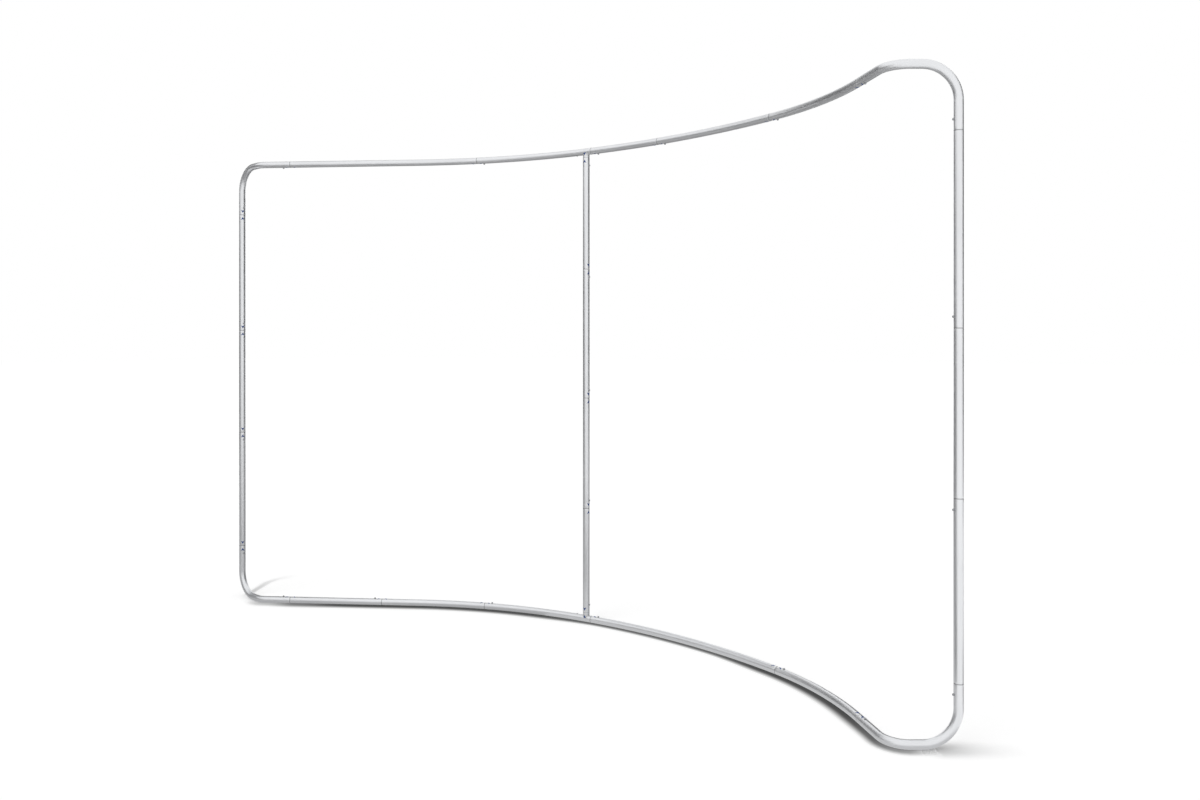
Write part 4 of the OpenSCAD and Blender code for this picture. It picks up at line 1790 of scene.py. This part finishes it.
@dataclass(frozen=True)
class DisplayFrame:
    """The whole frame: two rails, four corners and three posts.

    Seam runs are in millimetres, and the turns of the arrows from the buttons in degrees.
    """

    layout: Layout = Layout()
    top_runs: tuple[float, ...] = (-600, 30, 404, 1026)
    bottom_runs: tuple[float, ...] = (-1101, -557, 30, 1061)
    left_runs: tuple[float, ...] = (2027, 1413, 871, 268)
    right_runs: tuple[float, ...] = (2049, 1395, 831, 219)
    middle_runs: tuple[float, ...] = (2240, 1702, 1081, 549, 46)
    left_turn: float = -20
    right_turn: float = -48
    middle_turns: tuple[float, ...] = (-90, -15, -15, -15, -90)
    legs: tuple[float, ...] = (243, 221, 252, 203)

    def rails(self) -> list[Rail]:
        """Lays out the rails.

        Returns:
            The top rail and the bottom rail.
        """
        made, half = [], self.layout.rail_half
        for level, runs, ways, parts, single in (
            (Level.TOP, self.top_runs, (-1, 1, 1, 1, 1, 1), ("tee", "middle_right"), 2),
            (Level.BOTTOM, self.bottom_runs, (-1, -1, 1, 1, 1, 1), ("left", "tee"), 3),
        ):
            name, course = f"{level.name.lower()}_rail", RailCourse(self.layout, level)
            parts = ("far_left", *parts, "right", "far_right")
            stub = TeeStub(self.layout.middle(), self.layout.height(level), level.value)
            stops = seam_row((-half, *runs, half), ways)
            made.append(Rail(name, course, stops, parts, single=single, stub=stub))
        return made

    def corners(self) -> list[Corner]:
        """Returns the four corners, the top ones first and the left ones first."""
        places = [(level, side) for level in Level for side in Side]
        courses = [CornerCourse(self.layout, level, side) for level, side in places]
        return [Corner(course, leg) for course, leg in zip(courses, self.legs)]

    def posts(self) -> list[Post]:
        """Lays out the posts.

        Returns:
            The left, the right and the middle post.
        """
        made = []
        for side, runs, turn in (
            (Side.LEFT, self.left_runs, self.left_turn),
            (Side.RIGHT, self.right_runs, self.right_turn),
        ):
            corner = CornerCourse(self.layout, Level.BOTTOM, side)
            top = corner.station(corner.elbow[1])
            course, name = PostCourse((top.at.x, top.at.y), top.inner), side.name.lower()
            stops, parts = seam_row(runs, (1, 1, -1, -1)), ("upper", "middle", "lower")
            made.append(Post(f"{name}_post", course, stops, parts, (math.radians(turn),) * 4))
        parts = ("top", "upper", "lower", "bottom")
        stops = seam_row(self.middle_runs, (-1, -1, 1, 1, 1))
        turns = tuple(math.radians(turn) for turn in self.middle_turns)
        trims = (self.layout.top_z, self.layout.bottom_z)
        made.append(Post("middle_post", self.layout.middle(), stops, parts, turns, trims))
        return made

    def build(self) -> None:
        """Builds every piece and dresses the clips that keep their solids."""
        kinds = (SatinTube, TurnedSteel, SpringSteel, BlueFilm, RivetAluminium)
        finishes = Finishes(*(kind().material() for kind in kinds))
        rails = self.rails()
        for part in (*rails, *self.corners(), *self.posts()):
            part.build(finishes)
        Rivets(tuple(rail.rivet_station() for rail in rails)).build(finishes.rivet)
        for name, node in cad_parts.items():
            if name.startswith("spring_clips"):
                node.data.materials.clear()
                node.data.materials.append(finishes.clip)
                LOG.info("%s keeps its solid", name)


# ---- Studio ----


def stage_mesh(
    name: str, outline: Outline, material: bpy.types.Material, hidden: Sequence[str] = ()
) -> bpy.types.Object:
    """Makes an object of the stage.

    Args:
        name: Name of the object.
        outline: Its points, in metres, and its faces.
        material: Its material.
        hidden: The kinds of ray that don't meet it.

    Returns:
        The object.
    """
    mesh = bpy.data.meshes.new(name)
    mesh.from_pydata(outline[0], [], outline[1])
    mesh.materials.append(material)
    made = bpy.data.objects.new(name, mesh)
    bpy.context.scene.collection.objects.link(made)
    for kind in hidden:
        setattr(made, f"visible_{kind}", False)
    LOG.info("stage: %s", name)
    return made


@dataclass(frozen=True)
class SoftLamp:
    """A distant soft lamp. The metal mirrors the room and the cards, not the lamp."""

    name: str
    azimuth: float
    height: float
    strength: float
    spread: float
    distance: float = 10.0

    def build(self) -> None:
        """Hangs the lamp so that it shines on the frame from its side."""
        data = bpy.data.lights.new(self.name, "SUN")
        data.energy, data.angle = self.strength, math.radians(self.spread)
        azimuth, height = math.radians(self.azimuth), math.radians(self.height)
        level = math.cos(height)
        toward = Vector((math.cos(azimuth) * level, math.sin(azimuth) * level, math.sin(height)))
        made = bpy.data.objects.new(self.name, data)
        made.rotation_mode = "QUATERNION"
        made.rotation_quaternion = toward.to_track_quat("Z", "Y")
        made.location = toward * self.distance
        made.visible_glossy = False
        bpy.context.scene.collection.objects.link(made)
        LOG.info("lamp %s", self.name)


@dataclass(frozen=True)
class Card:
    """A card that is only seen mirrored in the metal, in metres and degrees."""

    name: str
    tone: float

    def outline(self) -> Outline:
        """Returns the card's points and faces."""
        raise NotImplementedError

    def build(self) -> None:
        """Hangs the card, hidden from every ray but glossy ones."""
        material, graph = new_material(self.name)
        graph.surface(graph.white("ShaderNodeEmission", self.tone))
        material.cycles.emission_sampling = "NONE"
        hidden = ("camera", "diffuse", "transmission", "volume_scatter", "shadow")
        stage_mesh(self.name, self.outline(), material, hidden)


@dataclass(frozen=True)
class CurvedCard(Card):
    """An upright card bent round the frame."""

    start: float
    end: float
    high: float = 6.5
    low: float = -1.0
    radius: float = 7.5
    panels: int = 12

    def outline(self) -> Outline:
        """Bends the card.

        Returns:
            Its points and faces.
        """
        points: list[Triple] = []
        for k in range(self.panels + 1):
            angle = math.radians(self.start + (self.end - self.start) * k / self.panels)
            x, y = self.radius * math.cos(angle), self.radius * math.sin(angle)
            points += [(x, y, self.low), (x, y, self.high)]
        return points, [(k, k + 1, k + 3, k + 2) for k in range(0, 2 * self.panels, 2)]


@dataclass(frozen=True)
class LevelCard(Card):
    """A level card under or over the frame."""

    z: float
    corners: tuple[Pair, ...]

    def outline(self) -> Outline:
        """Returns the corners and the one face."""
        return [(x, y, self.z) for x, y in self.corners], [tuple(range(len(self.corners)))]


@dataclass(frozen=True)
class Dab:
    """One place of a painted soft shadow: its reach to the back and the front, and its depth."""

    x: float
    y: float
    back: float
    front: float
    depth: float


@dataclass(frozen=True)
class FloorShade:
    """A painted soft shadow on the floor: a dark sheet laid along a row of dabs, in metres."""

    name: str
    dabs: tuple[Dab, ...]
    core: float = 0.35
    steps: int = 14
    rise: float = 0.0002
    tone: float = 0.02

    def _material(self) -> bpy.types.Material:
        """Makes the shadow's material.

        Returns:
            The material, clear where the depth is 0.
        """
        made, graph = new_material(self.name)
        depth = graph.part(graph.attribute("depth"), "X")
        clear = graph.node("ShaderNodeBsdfTransparent")
        graph.surface(graph.mix(depth, clear, graph.matt(self.tone)))
        return made

    def _front(self, place: int) -> Vector:
        """Finds the level direction across the row, to its front.

        Args:
            place: Number of the dab.

        Returns:
            The direction there.
        """
        first = self.dabs[max(0, place - 1)]
        last = self.dabs[min(len(self.dabs) - 1, place + 1)]
        ahead = Vector((last.x - first.x, last.y - first.y, 0)).normalized()
        return Vector((ahead.y, -ahead.x, 0))

    def build(self) -> None:
        """Lays the painted shadow."""
        points: list[Vector] = []
        depths: list[float] = []
        for place, dab in enumerate(self.dabs):
            front = self._front(place)
            for k in range(self.steps + 1):
                share = k / self.steps
                reach = dab.front * share - dab.back * (1 - share)
                edge = reach / dab.front if reach > 0 else -reach / dab.back
                depths += [dab.depth * (1 - eased(edge, self.core, 1.0)), 0.0, 0.0]
                points.append(Vector((dab.x, dab.y, self.rise)) + reach * front)
        row, rows = self.steps + 1, range(len(self.dabs) - 1)
        cells = [row * i + k for i in rows for k in range(self.steps)]
        faces = [(c, c + 1, c + row + 1, c + row) for c in cells]
        hidden = ("diffuse", "glossy", "shadow")
        made = stage_mesh(self.name, (points, faces), self._material(), hidden)
        store_vectors(made.data, "depth", depths)


@dataclass(frozen=True)
class RailShade:
    """The painted soft shadow along the hollow side of the bottom rail.

    Each stop holds a run from the middle post, a width in millimetres and a depth.
    """

    layout: Layout
    stops: tuple[Triple, ...] = (
        (-1860, 60, 0.0), (-1720, 85, 0.45), (-1540, 95, 0.80), (-1300, 88, 0.93),
        (-300, 80, 0.92), (120, 52, 0.85), (700, 50, 0.86), (1000, 66, 0.93),
        (1500, 70, 0.93), (1700, 60, 0.86), (1810, 60, 0.70), (1950, 60, 0.0),
    )
    back: float = 12.0
    pitch: float = 20.0

    def _centre(self, run: float) -> Vector:
        """Finds the middle of the shadow.

        Args:
            run: Distance from the middle post along the rail and the corner beyond it.

        Returns:
            The place of the rail's or the corner's axis there.
        """
        half = self.layout.rail_half
        if abs(run) <= half:
            return RailCourse(self.layout, Level.BOTTOM).station(run).at
        corner = CornerCourse(self.layout, Level.BOTTOM, Side.of(run))
        return corner.station(abs(run) - half).at

    def shade(self) -> FloorShade:
        """Lays the shadow out.

        Returns:
            The shadow, with its widths and depths eased between the stops.
        """
        dabs = []
        for (r0, w0, d0), (r1, w1, d1) in zip(self.stops, self.stops[1:]):
            count = max(1, round((r1 - r0) / self.pitch))
            for k in range(count):
                share = eased(k / count, 0.0, 1.0)
                at = self._centre(r0 + (r1 - r0) * k / count) * MM
                width, depth = w0 + (w1 - w0) * share, d0 + (d1 - d0) * share
                dabs.append(Dab(at.x, at.y, self.back * MM, width * MM, depth))
        return FloorShade("rail_shade", tuple(dabs))


CARDS = (
    CurvedCard("right_flag", 0.01, 12, 96),
    CurvedCard("left_flag", 0.07, 144, 196, 8.0),
    CurvedCard("left_low_flag", 0.16, 196, 232, 3.0),
    CurvedCard("left_haze", 0.40, 232, 256, 3.0),
    LevelCard("sky_flag", 0.35, 8.0, ((-9, 0.3), (-4, 0.3), (-4, 7), (-9, 7))),
    LevelCard(
        "left_back_card", 0.24, 0.0008,
        ((-7.0, -0.2), (-1.8, 0.02), (-1.2, 0.25), (-0.5, 0.40), (-0.5, 8.0), (-7.0, 8.0)),
    ),
    LevelCard(
        "left_near_card", 0.45, 0.0009,
        (
            (-3.2, -0.2), (-1.8, 0.02), (-1.2, 0.25), (-0.5, 0.40),
            (-0.2, 0.40), (-0.2, -0.9), (-3.2, -1.2),
        ),
    ),
    LevelCard(
        "left_front_card", 0.26, 0.0008,
        ((-3.6, -1.2), (-0.2, -0.9), (-0.2, -4.0), (-3.0, -6.0), (-9.0, -7.0), (-9.0, -2.0)),
    ),
    LevelCard(
        "right_back_card", 0.38, 0.0008,
        ((-0.5, 0.42), (0.7, 0.34), (1.5, 0.08), (2.6, -0.2), (3.0, 8.0), (-0.5, 8.0)),
    ),
    LevelCard(
        "right_near_card", 0.60, 0.0009,
        (
            (-0.2, 0.40), (0.7, 0.34), (1.5, 0.08), (1.9, -0.2),
            (1.9, -0.5), (1.0, -0.35), (0.3, -0.2), (-0.2, -0.2),
        ),
    ),
    LevelCard(
        "corner_floor_card", 0.14, 0.0012,
        (
            (-0.3, -0.35), (-0.3, -0.8), (0.3, -1.3), (0.9, -1.9),
            (1.45, -1.4), (1.5, -0.68), (1.0, -0.35), (0.3, -0.2),
        ),
    ),
)
# Painted soft shadows that run across the floor from the feet of the end posts.
LEFT_FOOT_DABS = (
    Dab(-1.782, -0.195, 0.026, 0.026, 0.0),
    Dab(-1.797, -0.145, 0.030, 0.030, 0.42),
    Dab(-1.850, -0.040, 0.034, 0.034, 0.36),
    Dab(-1.900, 0.060, 0.040, 0.040, 0.25),
    Dab(-1.912, 0.140, 0.045, 0.045, 0.14),
    Dab(-1.895, 0.220, 0.045, 0.045, 0.05),
    Dab(-1.870, 0.280, 0.045, 0.045, 0.0),
)
RIGHT_FOOT_DABS = (
    Dab(1.690, -0.300, 0.060, 0.060, 0.30),
    Dab(1.735, -0.284, 0.075, 0.080, 0.46),
    Dab(1.790, -0.252, 0.080, 0.085, 0.34),
    Dab(1.850, -0.218, 0.080, 0.085, 0.20),
    Dab(1.920, -0.178, 0.080, 0.085, 0.08),
    Dab(2.000, -0.132, 0.080, 0.085, 0.0),
)


@dataclass(frozen=True)
class Studio:
    """The camera, pale floor, white surroundings, cards, lamps and painted floor shadows."""

    camera_at: Triple = (2.2685, -3.4458, 1.3446)
    camera_turn: float = 29.855
    lens: float = 27.291
    sensor: float = 36.0
    shift: float = -0.04725
    view_depth: float = 500.0
    room: float = 0.60
    floor_tone: float = 0.86
    floor_lift: float = 0.26
    floor_half: float = 60.0
    floor_z: float = -0.0002
    lamps: tuple[SoftLamp, ...] = (
        SoftLamp("key", -104, 42, 0.60, 40),
        SoftLamp("overhead", -60, 78, 0.50, 60),
    )
    cards: tuple[Card, ...] = CARDS
    shades: tuple[FloorShade, ...] = (
        RailShade(Layout()).shade(),
        FloorShade("left_foot_shade", LEFT_FOOT_DABS, core=0.1),
        FloorShade("right_foot_shade", RIGHT_FOOT_DABS, core=0.1),
    )

    def _seen(self, graph: Graph) -> Value:
        """Returns 1 for camera, glossy and transmission rays, and 0 for the rest."""
        seen = graph.ray("Is Camera Ray").larger(graph.ray("Is Glossy Ray"))
        return seen.larger(graph.ray("Is Transmission Ray"))

    def _world(self) -> None:
        """Makes the surroundings: white where they are seen, plain as a light."""
        world = bpy.data.worlds.new("studio_white")
        bpy.context.scene.world = world
        world.use_nodes = True
        graph = Graph(world.node_tree)
        light = graph.white("ShaderNodeBackground", self.room)
        white = graph.white("ShaderNodeBackground", 1.0)
        graph.surface(graph.mix(self._seen(graph), light, white), "ShaderNodeOutputWorld")

    def _floor(self) -> None:
        """Lays the pale floor, which looks white and keeps the frame's shadow."""
        material, graph = new_material("pale_floor")
        material.cycles.emission_sampling = "NONE"
        plain = graph.matt(self.floor_tone)
        lift = graph.white("ShaderNodeEmission", self.floor_lift)
        lit = graph.node("ShaderNodeAddShader", {}, {0: plain, 1: lift})
        seen = graph.mix(self._seen(graph), plain, lit)
        mirrored = graph.white("ShaderNodeEmission", 1.0)
        graph.surface(graph.mix(graph.ray("Is Glossy Ray"), seen, mirrored))
        half, z = self.floor_half, self.floor_z
        corners = [(-half, -half, z), (half, -half, z), (half, half, z), (-half, half, z)]
        stage_mesh("floor", (corners, [(0, 1, 2, 3)]), material)

    def _camera(self) -> None:
        """Sets up the camera at the photograph's viewpoint."""
        data = bpy.data.cameras.new("camera")
        data.lens, data.sensor_width = self.lens, self.sensor
        data.shift_y, data.clip_end = self.shift, self.view_depth
        made = bpy.data.objects.new("camera", data)
        made.location = self.camera_at
        made.rotation_euler = (TURN / 4, 0, math.radians(self.camera_turn))
        bpy.context.scene.collection.objects.link(made)
        bpy.context.scene.camera = made

    def build(self) -> None:
        """Builds the whole studio."""
        self._camera()
        self._world()
        self._floor()
        for part in (*self.lamps, *self.cards, *self.shades):
            part.build()
        bpy.context.scene.view_settings.view_transform = "Standard"
        LOG.info("studio ready")


def main() -> None:
    """Builds the studio and the frame, and reports each piece."""
    logging.basicConfig(level=logging.INFO, format="%(name)s: %(message)s")
    Studio().build()
    DisplayFrame().build()


if __name__ == "__main__":
    main()
